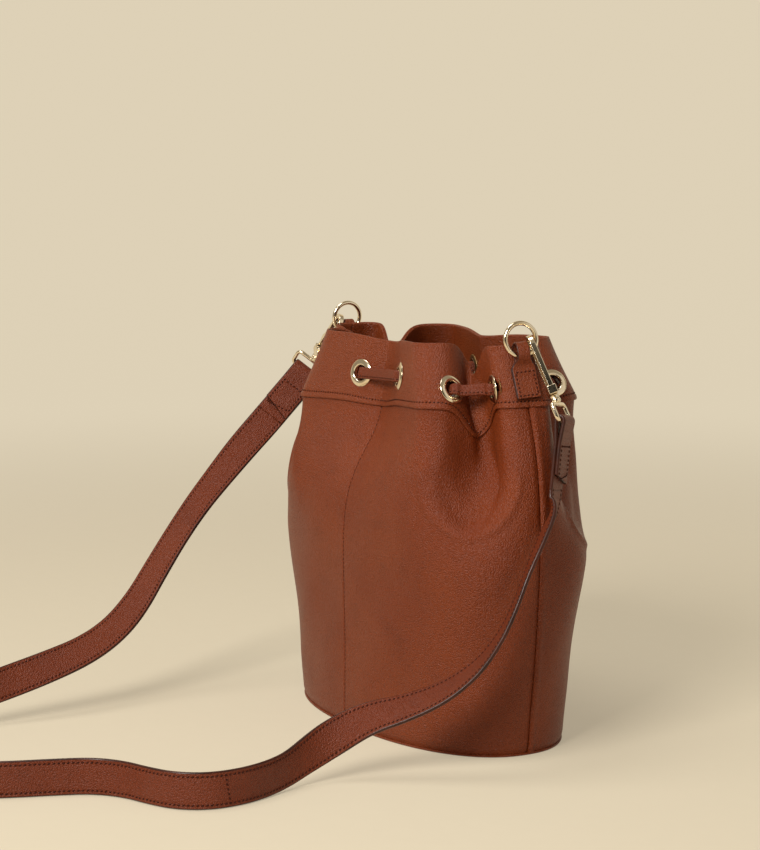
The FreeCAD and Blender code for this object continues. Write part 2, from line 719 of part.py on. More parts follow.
def bail(end, place, turn_place):
    """The bail: a stem with a head inside the jaw, a boss and a long slot for the strap."""
    deep = S["jaw_length"]
    bar, half = S["bail_bar"], S["strap_width"] / 2 + S["bail_clearance"]
    name = end + "_bail_"
    head = rod(name + "head", (0, 0, deep - S["swivel_gap"] - S["stem_head_thick"]),
               S["stem_head"], S["stem_head_thick"])
    under = deep + S["hook_base"] + S["swivel_gap"]
    stem = rod(name + "stem", (0, 0, deep - S["swivel_gap"] - 0.5), S["stem_radius"],
               S["hook_base"] + 3)
    boss = rod(name + "boss", (0, 0, under), S["boss_radius"], S["boss_length"] + 0.6)
    top = under + S["boss_length"]
    low = top + bar + S["bail_height"]
    across = box(name + "top", (-half - bar, -bar / 2, top), (half + bar, bar / 2, top + bar))
    left = box(name + "left", (-half - bar, -bar / 2, top), (-half, bar / 2, low + bar))
    right = box(name + "right", (half, -bar / 2, top), (half + bar, bar / 2, low + bar))
    lower = rod(name + "lower", (-half - 0.5, 0, low + bar / 2), bar / 2, half * 2 + 1, ALONG_X)
    item = fused(name + "solid", head, stem, boss, across, left, right, lower)
    item.Placement = turn_place
    keep(item, end + "_bail")
    return number(low + bar / 2)


def strap_fold(end, place):
    """The strap's end folded round the bail's lower bar, with its flap sewn down."""
    t, around = S["strap_leather"], S["bail_bar"] / 2 + S["fold_clearance"]
    gap = S["fold_clearance"] / 3
    taper, flap, root = S["fold_taper"], S["flap_length"], S["fold_length"]
    outside, inside = [], []
    for degrees in (0, 30, 60, 90, 120, 150, 180):
        cosine, sine = math.cos(math.radians(degrees)), math.sin(math.radians(degrees))
        outside.append(((around + t) * cosine, -(around + t) * sine))
        inside.append((around * cosine, -around * sine))
    loop = [(t + gap / 2, flap), (t + gap / 2, taper)] + outside
    loop += [(-t - gap / 2, taper), (-t - gap / 2, root), (-gap / 2, root), (-gap / 2, taper)]
    loop += inside[::-1] + [(gap / 2, taper), (gap / 2, flap)]
    body = padded(end + "_strap_fold", [loop], S["strap_width"])
    body.Placement = place
    keep(body, end + "_strap_fold")
    start = number(root) + V["glue_line"]
    return place.multVec(Vector(-number(t) / 2 - number(gap) / 2, 0, start))


STRAP_ENDS = {}
for end, (turn, lean, hook_at, down, to_gate, bail_way, leaves) in ENDS.items():
    foot = off_leather(turn, V["tab_foot"], COLLAR_OUT)
    rim_point = off_leather(turn, V["rim_rise"], COLLAR_OUT)
    up = (rim_point - foot).normalize()
    out = outward(turn, (V["tab_foot"] + V["rim_rise"]) / 2)
    out = (out - up * out.dot(up)).normalize()
    checks = [off_leather(turn, rise, COLLAR_OUT) - foot for rise in range(236, 277, 4)]
    standing = max(point.dot(out) for point in checks) + V["glue_line"]
    tab_place = Placement(foot, Rotation(out, up.cross(out), up, "ZXY"))
    middle = tab(end, tab_place, (rim_point - foot).Length, standing)
    wire_radius = (V["ring_hole"] + V["ring_wire"]) / 2
    fold = Placement(middle - Vector(0, 0, wire_radius), Rotation(Vector(0, 1, 0), lean))
    ring_place = tab_place.multiply(fold).multiply(
        Placement(Vector(0, 0, wire_radius), Rotation()))
    ring(end, ring_place)
    hook_place = ring_place.multiply(frame(Vector(*hook_at), to_gate, down))
    bail_place = ring_place.multiply(frame(Vector(*hook_at), bail_way, down))
    hook(end, hook_place)
    bar_at = bail(end, hook_place, bail_place)
    bar_middle = bail_place.multVec(Vector(0, 0, bar_at))
    across = bail_place.Rotation.multVec(Vector(1, 0, 0))
    leaves = ring_place.Rotation.multVec(Vector(*leaves))
    leaves = (leaves - across * leaves.dot(across)).normalize()
    flap_side = leaves.cross(across) if end == "near" else across.cross(leaves)
    fold_place = frame(bar_middle, flap_side, leaves)
    STRAP_ENDS[end] = (strap_fold(end, fold_place), leaves.normalize(), across.normalize())
    print(end, "ring centre", ring_place.Base, "hook", hook_place.Base, "bar", bar_middle,
          "strap from", STRAP_ENDS[end][0])

# ---------------------------------------------------------------- the shoulder strap
# the middle of the strap and the way that its width points, from the near end to the far one
AWAY, UPRIGHT = Vector(-0.856, 0.517, 0), Vector(0, 0, 1)
LEAN = Vector(-0.62, -0.70, 0.35)
ROUTE = [
    (156, 0, 167, 8), (160, -11, 150.5, 4), (162, -22, 132.8, 0), (163, -31, 113.2, 0),
    (162, -42, 92.4, 4), (157, -56, 72.7, 12), (148, -76, 56.6, 22), (136, -98, 46.2, 32),
    (124, -120, 39.8, 48), (118, -140, 29.8, 66), (118, -160, 20.3, 82), (123, -179, 13.4, 90),
    (132, -199, 12.1, 90), (138, -220, 12.1, 90), (137, -241, 12.1, 90),
    (126, -258, 12.1, 90), (108, -268, 12.1, 90), (86, -276, 12.1, 90),
    (69, -291, 12.1, 90), (60, -314, 12.1, 90), (51, -340, 12.1, 90), (38, -368, 12.1, 90),
    (16, -395, 12.1, 90), (-14, -414, 12.1, 90), (-47, -419, 12.1, 90),
    (-77, -408, 12.1, 90), (-99, -384, 12.6, 90), (-113, -352, 15.5, 88),
    (-120, -317, 21, 86), (-123, -281, 28.4, 82), (-124, -246, 36.6, 78),
    (-127.5, -214, 45, 72), (-134.5, -188, 56.5, 66), (-142.5, -167, 73, 60),
    (-148.5, -149, 94.6, 54), (-153, -130, 118, 48), (-156, -111, 140, 44),
    (-157, -92, 160, 40), (-157, -72, 181, 38),
]
near_point, near_leaves, near_way = STRAP_ENDS["near"]
far_point, far_leaves, far_way = STRAP_ENDS["far"]
route, ways_at = [near_point], [near_way]
for x, y, z, tilt in ROUTE:
    level = AWAY if y > -300 and x > 0 else LEAN
    share = math.radians(tilt)
    route.append(Vector(x, y, z))
    ways_at.append(level * math.cos(share) + UPRIGHT * math.sin(share))
route.append(far_point)
ways_at.append(far_way)
middles, radii = cord_path(route, steps=1)
ways = [ways_at[0]]
for i in range(1, len(route) - 1):
    ways += [ways_at[i]] * 2
ways.append(ways_at[-1])
strap = band(middles, ways, V["strap_width"], V["strap_leather"], near_leaves, far_leaves * -1)
length = sum(a.distanceToPoint(b) for a, b in zip(middles, middles[1:]))
print("strap bends, mm:", " ".join("%.0f" % radius for radius in radii))
print("strap length %.1f mm, volume %.0f mm3, section times length %.0f mm3" % (
    length, strap.Volume, length * V["strap_width"] * V["strap_leather"]))
feature("shoulder_strap", strap)


# ---------------------------------------------------------------- checks and files
doc.recompute()
bad = [item.Name for item in doc.Objects if {"Invalid", "Error"} & set(item.State)]
bad += [item.Label for item in KEPT if item.Shape.isNull() or not item.Shape.isValid()]
if bad:
    raise RuntimeError("These are not sound: " + ", ".join(bad))
os.makedirs("parts", exist_ok=True)
for item in KEPT:
    item.Shape.exportStep("parts/" + item.Label + ".step")
print(len(KEPT), "pieces")
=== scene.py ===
import json
import math

import bmesh
import bpy
import numpy as np
from mathutils import Matrix, Quaternion, Vector

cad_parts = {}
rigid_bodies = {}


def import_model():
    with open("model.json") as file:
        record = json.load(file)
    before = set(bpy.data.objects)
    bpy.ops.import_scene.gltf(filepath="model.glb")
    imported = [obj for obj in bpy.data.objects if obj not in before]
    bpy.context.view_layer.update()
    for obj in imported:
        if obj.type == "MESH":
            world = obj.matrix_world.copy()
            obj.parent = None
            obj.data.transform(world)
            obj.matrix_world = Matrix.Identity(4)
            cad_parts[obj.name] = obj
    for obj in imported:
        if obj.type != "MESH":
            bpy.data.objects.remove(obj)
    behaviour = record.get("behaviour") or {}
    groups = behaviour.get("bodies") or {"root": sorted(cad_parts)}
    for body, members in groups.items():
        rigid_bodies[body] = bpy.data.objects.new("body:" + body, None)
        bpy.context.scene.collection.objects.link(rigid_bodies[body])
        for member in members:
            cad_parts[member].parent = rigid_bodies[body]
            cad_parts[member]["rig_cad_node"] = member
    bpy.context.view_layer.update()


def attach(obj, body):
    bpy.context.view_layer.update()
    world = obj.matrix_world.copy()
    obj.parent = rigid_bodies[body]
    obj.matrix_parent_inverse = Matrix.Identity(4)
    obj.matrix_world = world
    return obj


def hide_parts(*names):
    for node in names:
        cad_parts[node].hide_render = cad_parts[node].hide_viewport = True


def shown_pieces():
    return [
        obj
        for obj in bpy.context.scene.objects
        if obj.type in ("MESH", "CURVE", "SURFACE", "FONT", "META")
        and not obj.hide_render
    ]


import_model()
MM = 0.001

# --- the leather surface, in millimetres
# Turns count quarters of the way round: 0 is the middle of the front, 1 the near end, 2 the
# middle of the back and 3 the far end. A rise is the height before the mouth is drawn up.
LEVELS = {
    # rise: half length, half width, squareness, fuller at the back, how far the gathers stand out
    0: (131.5, 69.5, 2.23, 1.0, 0.95),
    60: (138, 69.5, 2.4, 1.0, 0.95),
    130: (144.5, 71, 2.85, 1.05, 0.95),
    190: (140.5, 79, 2.9, 1.06, 1.01),
    232: (128.5, 66, 2.6, 1.17, 1.0),
    276: (113, 60, 2.5, 1.25, 1.0),
}
SEAM, RIM = 232, 276
RISES = sorted(LEVELS)
TILT, TWIST = 6, math.tan(math.radians(12))  # of the seam towards the near end, and of that end
PANEL, FACING, LINING, LINING_EASE = 1.4, 1.2, 0.7, 7.6
COLLAR_IN, COLLAR_OUT = 0.1, 1.6
PANEL_FOOT, PANEL_TOP = 1.7, 235
COLLAR_FOOT, FACING_FOOT = 231, 235.5
LINING_FOOT, LINING_TOP = 4.6, 240
SEAM_STITCHES = 234.6
GATHERS_FROM, GATHERS_TO, TILTS_FROM = 125, 245, 130
END_FROM = 0.8  # of a quarter, where the outline leaves the folds for the bag's end
DIP, DIP_AT, DIP_SPREAD = 22, 0.715, 0.08  # how far the rim drops in each fold
SAG, SAG_SPREAD = 3, 0.16  # and in the middle of each face
TURN_STEP, RISE_STEP = 0.004, 0.5  # either way, to find how a surface faces
ARC_STEPS, FOLD_FADE = 28, 10


def ease(low, high, x):
    """0 before low, 1 past high, smooth between."""
    share = np.clip((x - low) / (high - low), 0, 1)
    return share * share * (3 - 2 * share)


def unit(way):
    """One way at length 1."""
    way = np.asarray(way, float)
    return way / np.linalg.norm(way)


def units(ways):
    """A row of ways at length 1."""
    return ways / np.linalg.norm(ways, axis=1)[:, None]


def squared(way, line):
    """A way turned square to a line."""
    return unit(way - line * (way @ line))


def all_squared(ways, lines):
    """A row of ways, each turned square to its line."""
    return units(ways - lines * (ways * lines).sum(1)[:, None])


def at_rise(column, rise):
    """One column of the levels, on a smooth curve through them."""
    rise = min(max(rise, RISES[0]), RISES[-1])
    i = 0
    while rise > RISES[i + 1]:
        i += 1
    r0, r1 = RISES[i], RISES[i + 1]
    before, after = RISES[max(i - 1, 0)], RISES[min(i + 2, len(RISES) - 1)]
    v0, v1 = LEVELS[r0][column], LEVELS[r1][column]
    span = r1 - r0
    slope0 = (v1 - LEVELS[before][column]) / (r1 - before) * span
    slope1 = (LEVELS[after][column] - v0) / (after - r0) * span
    s = (rise - r0) / span
    return ((2 * s**3 - 3 * s**2 + 1) * v0 + (s**3 - 2 * s**2 + s) * slope0
            + (3 * s**2 - 2 * s**3) * v1 + (s**3 - s**2) * slope1)


def along(points):
    """An outline's points with the share of its length at each."""
    points = np.array(points, float)
    runs = np.concatenate([[0], np.cumsum(np.linalg.norm(np.diff(points, axis=0), axis=1))])
    return runs / runs[-1], points[:, 0], points[:, 1]


def rounded(corners):
    """Straight sides with an arc of its own radius at each inner corner."""
    points = [corners[0][:2]]
    for before, corner, after in zip(corners, corners[1:], corners[2:]):
        apex, radius = np.array(corner[:2], float), corner[2]
        back, onward = unit(np.array(before[:2]) - apex), unit(np.array(after[:2]) - apex)
        half = math.acos(np.clip(back @ onward, -1, 1)) / 2
        middle = apex + unit(back + onward) * (radius / math.sin(half))
        start = apex + back * (radius / math.tan(half)) - middle
        end = apex + onward * (radius / math.tan(half)) - middle
        sweep = math.pi - 2 * half
        for k in range(ARC_STEPS + 1):
            share = k / ARC_STEPS
            arm = start * math.sin((1 - share) * sweep) + end * math.sin(share * sweep)
            points.append(tuple(middle + arm / math.sin(sweep)))
    points.append(corners[-1][:2])
    return along(points)


GATHERED_SEAM = rounded([(0, -43, 0), (97, -61, 16), (96, -9, 5), (128.5, -20, 9), (128.5, 0, 0)])
GATHERED_RIM = rounded([(0, -36, 0), (81.5, -51.5, 16), (70, -11, 5), (113, -16.5, 9), (113, 0, 0)])
ovals = {}


def oval(rise):
    """A quarter of the outline at one rise, before the mouth is drawn up."""
    if rise not in ovals:
        length, width = at_rise(0, rise), at_rise(1, rise)
        power = 2 / at_rise(2, rise)
        a = np.linspace(0, math.pi / 2, 241)
        ovals[rise] = along(np.stack([length * np.abs(np.sin(a)) ** power,
                                      -width * np.abs(np.cos(a)) ** power], 1))
    return ovals[rise]


def taut_leather(turns, rise):
    """Points on the bag's drawn-up outline at one rise, for any number of turns."""
    turns = np.atleast_1d(np.asarray(turns, float))
    quarter = np.floor(turns).astype(int) % 4
    share = turns - np.floor(turns)
    share = np.where(quarter % 2 == 1, 1 - share, share)
    s, xs, ys = oval(rise)
    x0, y0 = np.interp(share, s, xs), np.interp(share, s, ys)
    to_rim = min(max((rise - SEAM) / (RIM - SEAM), 0.0), 1.0)
    stand, length = at_rise(4, rise), at_rise(0, rise)
    low = [np.interp(share, GATHERED_SEAM[0], GATHERED_SEAM[k]) for k in (1, 2)]
    high = [np.interp(share, GATHERED_RIM[0], GATHERED_RIM[k]) for k in (1, 2)]
    x1, y1 = [(a + (b - a) * to_rim) * stand for a, b in zip(low, high)]
    end = ease(END_FROM, 1.0, share)
    drawn_in = LEVELS[SEAM][0] + (LEVELS[RIM][0] - LEVELS[SEAM][0]) * to_rim
    x1 = x1 + (length - drawn_in * stand) * end
    gathered = float(ease(GATHERS_FROM, GATHERS_TO, rise))
    x, y = x0 + (x1 - x0) * gathered, y0 + (y1 - y0) * gathered
    drop = (DIP * np.exp(-((share - DIP_AT) / DIP_SPREAD) ** 2)
            + SAG * np.exp(-((share / SAG_SPREAD) ** 2)))
    z = rise - drop * gathered
    y = np.where((quarter == 1) | (quarter == 2), -y * at_rise(3, rise), y)
    far = (quarter == 2) | (quarter == 3)
    x = np.where(far, -x, x + TWIST * end * gathered * y)
    lifted = float(ease(TILTS_FROM, SEAM, rise)) * (1 - to_rim)
    z = z + TILT * lifted * x / LEVELS[SEAM][0]
    return np.stack([x, y, z], 1)


def facing(surface, turns, rise):
    """The ways straight out of a surface."""
    turns = np.atleast_1d(np.asarray(turns, float))
    low, high = max(rise - RISE_STEP, 0), min(rise + RISE_STEP, RIM)
    across = surface(turns + TURN_STEP, rise) - surface(turns - TURN_STEP, rise)
    return units(np.cross(across, surface(turns, high) - surface(turns, low)))


def apart(turns, turn):
    """How far round the bag, in turns, from one place."""
    return (turns - turn + 2) % 4 - 2


def gathered_fold(turns, rise, line, wide, lift):
    """A fold along a line of (turn, rise) points, fading out at both ends."""
    line = sorted(line, key=lambda point: point[1])
    at = np.interp(rise, [p[1] for p in line], [p[0] for p in line])
    low, high = line[0][1], line[-1][1]
    inside = float(ease(low - FOLD_FADE, low + FOLD_FADE, rise))
    inside *= 1 - float(ease(high - FOLD_FADE, high + FOLD_FADE, rise))
    return lift * inside * np.exp(-((apart(turns, at) / wide) ** 2))


BOWL_NARROWS, LIP_AT, LIP_WIDE = 0.4, 1.06, 0.07  # shares of a bowl's half width


def bowl(turns, rise, turn, wide, middle, deep, depth, lip):
    """The slack below a gather: narrower and soft above, with a crisp rounded lip below."""
    across = apart(turns, turn)
    narrow = wide * (1 - BOWL_NARROWS * float(ease(middle, SEAM, rise)))
    below = min(rise - middle, 0) / deep
    away = np.sqrt((across / narrow) ** 2 + below * below)
    fade = 1 - float(ease(middle + 4, SEAM, rise))
    slope_from = 0.55 - 0.4 * float(ease(middle - 26, middle + 20, rise))
    lower = 1 - float(ease(middle - 8, middle + 30, rise))
    return (-depth * fade * (1 - ease(slope_from, 1.0, away))
            + lip * lower * np.exp(-(((away - LIP_AT) / LIP_WIDE) ** 2)))


# Where the leather hangs slack: turn, half width, middle and half height, depth, lip.
BOWLS = [(0.715, 0.2, 186, 31, 5.4, 1.2), (1.36, 0.175, 178, 38, 6.0, 1.0),
         (2.66, 0.19, 184, 36, 4.5, 0.8), (3.29, 0.2, 186, 34, 4.8, 0.9)]
# Wrinkles: their (turn, rise) points, half width and lift.
FOLDS = [([(0.668, 268), (0.688, 246), (0.728, 232)], 0.026, -3.4),
         ([(0.732, 228), (0.776, 197), (0.796, 180)], 0.024, -3.6),
         ([(0.60, 214), (0.64, 186)], 0.05, 0.7), ([(0.705, 243), (0.71, 236)], 0.006, -0.5),
         ([(0.725, 244), (0.73, 236)], 0.006, -0.5), ([(0.745, 242), (0.742, 236)], 0.006, -0.4),
         ([(1.332, 268), (1.312, 246), (1.272, 232)], 0.026, -3.0),
         ([(1.26, 222), (1.21, 190), (1.19, 168)], 0.04, -2.0),
         ([(2.668, 268), (2.70, 240), (2.74, 225)], 0.026, -2.8),
         ([(2.74, 222), (2.79, 176)], 0.04, -1.8),
         ([(3.332, 268), (3.30, 240), (3.26, 225)], 0.026, -3.0),
         ([(3.26, 222), (3.22, 176)], 0.04, -2.0),
         ([(3.55, 222), (3.62, 150)], 0.05, 0.6), ([(0.36, 214), (0.40, 150)], 0.06, 0.6),
         ([(1.075, 236), (1.10, 272)], 0.012, 0.8)]

PULLS, PULL_SPREAD = [(0.055, 6.0), (1.945, 1.5)], 0.15  # where the string draws a face in, how far
WAVES, SEAM_SPREAD = 0.5, 0.09  # of the slack leather, and of the stiff side seams


def slack(turns, rise):
    """How far the leather hangs off the drawn-up outline."""
    swell = np.zeros(len(turns))
    for middle, deep in PULLS:
        swell -= (deep * float(ease(165, 248, rise))
                  * np.exp(-((apart(turns, middle) / PULL_SPREAD) ** 2)))
    for turn, wide, middle, deep, depth, lip in BOWLS:
        swell += bowl(turns, rise, turn, wide, middle, deep, depth, lip)
    for line, wide, lift in FOLDS:
        swell += gathered_fold(turns, rise, line, wide, lift)
    settled = float(ease(0, 40, rise)) * (1 - float(ease(200, 245, rise)))
    swell += WAVES * settled * (np.sin(turns * 9.1 + rise / 31) * math.sin(rise / 23 + 1)
                                + 0.6 * np.sin(turns * 17.3 - rise / 19))
    seam = sum(np.exp(-((apart(turns, end) / SEAM_SPREAD) ** 2)) for end in (1, 3))
    return swell * (1 - np.minimum(seam, 1) * float(ease(205, 235, rise)))


def smooth_leather(turns, rise):
    """Points on the bag's outer face as it hangs."""
    turns = np.atleast_1d(np.asarray(turns, float))
    return (taut_leather(turns, rise)
            + facing(taut_leather, turns, rise) * slack(turns, rise)[:, None])


def outward(turns, rise):
    """The ways straight out of the leather."""
    return facing(smooth_leather, turns, rise)


def off_outline(turn, rise):
    """A point on the collar as it would be drawn taut, which the tabs stand on."""
    return taut_leather(turn, rise)[0] + facing(taut_leather, turn, rise)[0] * COLLAR_OUT


class Place:
    """A frame in millimetres, in the bag's own."""

    def __init__(self, origin, x, y, z):
        self.origin, self.axes = np.array(origin, float), np.array([x, y, z], float)

    def __call__(self, points):
        """Points of its own in the bag's frame."""
        return self.origin + np.asarray(points, float) @ self.axes

    def way(self, way):
        """A way of its own in the bag's frame."""
        return np.asarray(way, float) @ self.axes

    def inner(self, origin, x=(1, 0, 0), y=(0, 1, 0), z=(0, 0, 1)):
        """A frame given in this one."""
        return Place(self(origin), self.way(x), self.way(y), self.way(z))


def hung(origin, x_way, z_way):
    """A frame with Z along z_way and X as near x_way as it can be."""
    z = unit(z_way)
    x = squared(np.asarray(x_way, float), z)
    return Place(origin, x, np.cross(z, x), z)


# --- finishes
def srgb(red, green, blue):
    """A colour as seen, 0 to 255, as the linear colour that a shader takes."""
    return tuple((c / 255 / 12.92) if c / 255 <= 0.04045 else ((c / 255 + 0.055) / 1.055) ** 2.4
                 for c in (red, green, blue)) + (1.0,)


class Value:
    """An output of a finish's nodes. Python's signs on it add Math nodes."""

    def __init__(self, finish, socket):
        self.finish, self.socket = finish, socket

    def math(self, operation, *others):
        return self.finish.add("ShaderNodeMath", {"operation": operation}, [self, *others])

    def __add__(self, other):
        return self.math("ADD", other)

    def __mul__(self, other):
        return self.math("MULTIPLY", other)

    def __rsub__(self, other):
        return self.finish.add("ShaderNodeMath", {"operation": "SUBTRACT"}, [other, self])

    def between(self, low, high):
        """0 below low, 1 above high, smooth between."""
        return self.finish.add("ShaderNodeMapRange", {"interpolation_type": "SMOOTHSTEP"},
                               [self, low, high, 0.0, 1.0])


class Finish:
    """A procedural material with one Principled shader."""

    def __init__(self, name):
        self.material = bpy.data.materials.new(name)
        self.material.use_nodes = True
        self.tree = self.material.node_tree
        self.shader = self.tree.nodes["Principled BSDF"]
        self.place = self.add("ShaderNodeTexCoord", {}, {}, "Object")

    def add(self, kind, settings, sockets, output=0):
        """A node of a kind, with its settings, then the values or links of its sockets."""
        node = self.tree.nodes.new(kind)
        for key, value in settings.items():
            setattr(node, key, value)
        for key, value in (sockets.items() if isinstance(sockets, dict) else enumerate(sockets)):
            if isinstance(value, Value):
                self.tree.links.new(value.socket, node.inputs[key])
            else:
                node.inputs[key].default_value = value
        return Value(self, node.outputs[output])

    def noise(self, scale, detail=2.0, roughness=0.5, place=None, output=0):
        return self.add("ShaderNodeTexNoise", {}, {
            "Vector": place or self.place, "Scale": scale, "Detail": detail,
            "Roughness": roughness}, output)

    def mix(self, factor, one, two):
        return self.add("ShaderNodeMix", {"data_type": "RGBA"}, {0: factor, 6: one, 7: two}, 2)

    def set(self, **sockets):
        for key, value in sockets.items():
            key = key.replace("_", " ")
            if isinstance(value, Value):
                self.tree.links.new(value.socket, self.shader.inputs[key])
            else:
                self.shader.inputs[key].default_value = value
        return self.material

    def bump(self, height, distance):
        return self.add("ShaderNodeBump", {},
                        {"Strength": 1.0, "Distance": distance, "Height": height})


def leather_finish(name, colour, deep, pale, rough=0.38, grain=0.0008):
    """Fine pebbled leather: rounded cells, hair creases, and a tone that drifts."""
    f = Finish(name)
    waver = f.noise(420.0, output="Color")
    bent = f.add("ShaderNodeVectorMath", {"operation": "MULTIPLY_ADD"},
                 [waver, (0.0009, 0.0009, 0.0009), f.place])
    cells = f.add("ShaderNodeTexVoronoi", {"feature": "SMOOTH_F1"},
                  {"Vector": bent, "Scale": 1050.0, "Smoothness": 0.25, "Randomness": 0.95})
    fine = f.noise(2600, 2, 0.6)
    creases = f.noise(150, 5, 0.62, bent)
    drift = f.noise(16, 3, 0.55)
    patches = f.noise(55, 3, 0.6)
    height = (1 - cells) * 0.8 + fine * 0.3 + creases * 0.35
    tone = f.mix(drift.between(0.35, 0.7), colour, pale)
    tone = f.mix(patches.between(0.5, 0.8) * 0.25, tone, deep)
    tone = f.mix(cells.between(0.45, 0.95) * 0.5, tone, deep)
    return f.set(
        Base_Color=tone,
        Roughness=patches * 0.06 + cells * 0.2 + (rough - 0.12),
        Normal=f.bump(height, grain), Specular_IOR_Level=0.3)


TAN, TAN_DEEP, TAN_PALE = srgb(113, 46, 14), srgb(86, 32, 9), srgb(120, 51, 17)
LEATHER = leather_finish("leather", TAN, TAN_DEEP, TAN_PALE)
COLLAR_LEATHER = leather_finish("collar_leather", srgb(114, 48, 17), TAN_DEEP, srgb(120, 53, 20))
STRAP_LEATHER = leather_finish("strap_leather", srgb(104, 42, 16), srgb(76, 28, 9),
                               srgb(110, 46, 19), 0.42)
BACK_OF_LEATHER = leather_finish("flesh_side", srgb(112, 56, 34), srgb(92, 43, 26),
                                 srgb(124, 66, 42), 0.75, 0.0003)


def edge_finish():
    """Painted edge: smooth, dark, a little uneven along its length."""
    f = Finish("painted_edge")
    waves, drift = f.noise(380, 3), f.noise(60, 2)
    tone = f.mix(drift.between(0.35, 0.7), srgb(60, 23, 10), srgb(42, 15, 6))
    return f.set(Base_Color=tone, Roughness=waves * 0.15 + 0.3,
                 Normal=f.bump(waves, 0.0001), Coat_Weight=0.08, Coat_Roughness=0.25,
                 Specular_IOR_Level=0.3)


def metal_finish(name, colour, warm, rough):
    """Pale gold plate with faint polishing marks and finger haze."""
    f = Finish(name)
    drawn = f.add("ShaderNodeMapping", {}, {"Vector": f.place, "Scale": (1, 1, 9)})
    marks = f.noise(300.0, 4.0, place=drawn)
    haze = f.noise(130, 3)
    return f.set(Base_Color=f.mix(haze.between(0.4, 0.7), colour, warm), Metallic=1.0,
                 Roughness=haze * 0.08 + marks * 0.06 + rough,
                 Normal=f.bump(marks, 0.00001))


def thread_finish(name, colour, dark):
    """Twisted sewing thread."""
    f = Finish(name)
    twist = f.noise(4200, 2)
    return f.set(Base_Color=f.mix(twist.between(0.35, 0.65), colour, dark), Roughness=0.62,
                 Normal=f.bump(twist, 0.00006), Specular_IOR_Level=0.15)


def cloth_finish(name, colour, dark):
    """A plain cotton weave."""
    f = Finish(name)
    warp, weft = (f.add("ShaderNodeTexWave", {"wave_type": "BANDS", "bands_direction": way},
                        {"Vector": f.place, "Scale": 260.0, "Distortion": 0.6, "Detail": 1.0}, 1)
                  for way in "XZ")
    weave = warp.math("MAXIMUM", weft)
    worn = f.noise(28, 3)
    tone = f.mix(weave, dark, f.mix(worn.between(0.4, 0.75), colour, dark))
    return f.set(Base_Color=tone, Roughness=0.85, Normal=f.bump(weave, 0.00015),
                 Sheen_Weight=0.25)


def board_finish(name, colour, dark):
    """Pressed fibre board."""
    f = Finish(name)
    pulp = f.noise(300, 3)
    return f.set(Base_Color=f.mix(pulp, colour, dark), Roughness=0.85,
                 Normal=f.bump(pulp, 0.0001))


EDGE = edge_finish()
GOLD = metal_finish("pale_gold", srgb(242, 228, 202), srgb(233, 213, 180), 0.09)
GOLD_INSIDE = metal_finish("gold_unpolished", srgb(190, 158, 108), srgb(160, 126, 80), 0.3)
THREAD = thread_finish("thread", srgb(64, 22, 9), srgb(38, 12, 5))
LINING_CLOTH = cloth_finish("lining_cotton", srgb(92, 62, 44), srgb(58, 38, 27))
BOARD = board_finish("fibre_board", srgb(150, 126, 96), srgb(128, 104, 76))

# --- meshes
def placed(name, data):
    """A new object in the scene."""
    item = bpy.data.objects.new(name, data)
    bpy.context.scene.collection.objects.link(item)
    return item


def quads(count, around, closed=False):
    """Faces between neighbours in a row of loops, each with this many points around."""
    return [(one + k, one + (k + 1) % around, two + (k + 1) % around, two + k)
            for one, two in ((i * around, (i + 1) % count * around)
                             for i in range(count if closed else count - 1))
            for k in range(around)]


def piece(name, points, faces, materials, kinds=None, scale=MM):
    """A mesh object at the origin; kinds gives each face's material."""
    mesh = bpy.data.meshes.new(name)
    mesh.from_pydata((np.asarray(points, float) * scale).tolist(), [], faces)
    for material in materials:
        mesh.materials.append(material)
    if kinds is not None:
        mesh.polygons.foreach_set("material_index", kinds)
    mesh.polygons.foreach_set("use_smooth", [True] * len(mesh.polygons))
    mesh.update()
    return placed(name, mesh)


def tidy(item, merged=True):
    """Merges doubled points, if asked, and turns every face outwards."""
    work = bmesh.new()
    work.from_mesh(item.data)
    if merged:
        bmesh.ops.remove_doubles(work, verts=work.verts, dist=0.01 * MM)
    bmesh.ops.recalc_face_normals(work, faces=work.faces)
    work.to_mesh(item.data)
    work.free()
    return item


def sleeve(name, sections, materials, kinds, closed=False):
    """Skin over a row of closed sections; kinds gives the material between their points."""
    sections = np.asarray(sections, float)
    count, around = sections.shape[:2]
    faces = quads(count, around, closed)
    slots = kinds * (len(faces) // around)
    if not closed:
        for first, turned in ((0, False), ((count - 1) * around, True)):
            loop = list(range(first, first + around))
            faces.append(tuple(loop if turned else loop[::-1]))
            slots.append(1 if len(materials) > 1 else 0)
    return tidy(piece(name, sections.reshape(-1, 3), faces, materials, slots))


CUT_DEPTH, CUT_RADIUS = 7, 6.9  # of what an eyelet's hole takes out of a wall


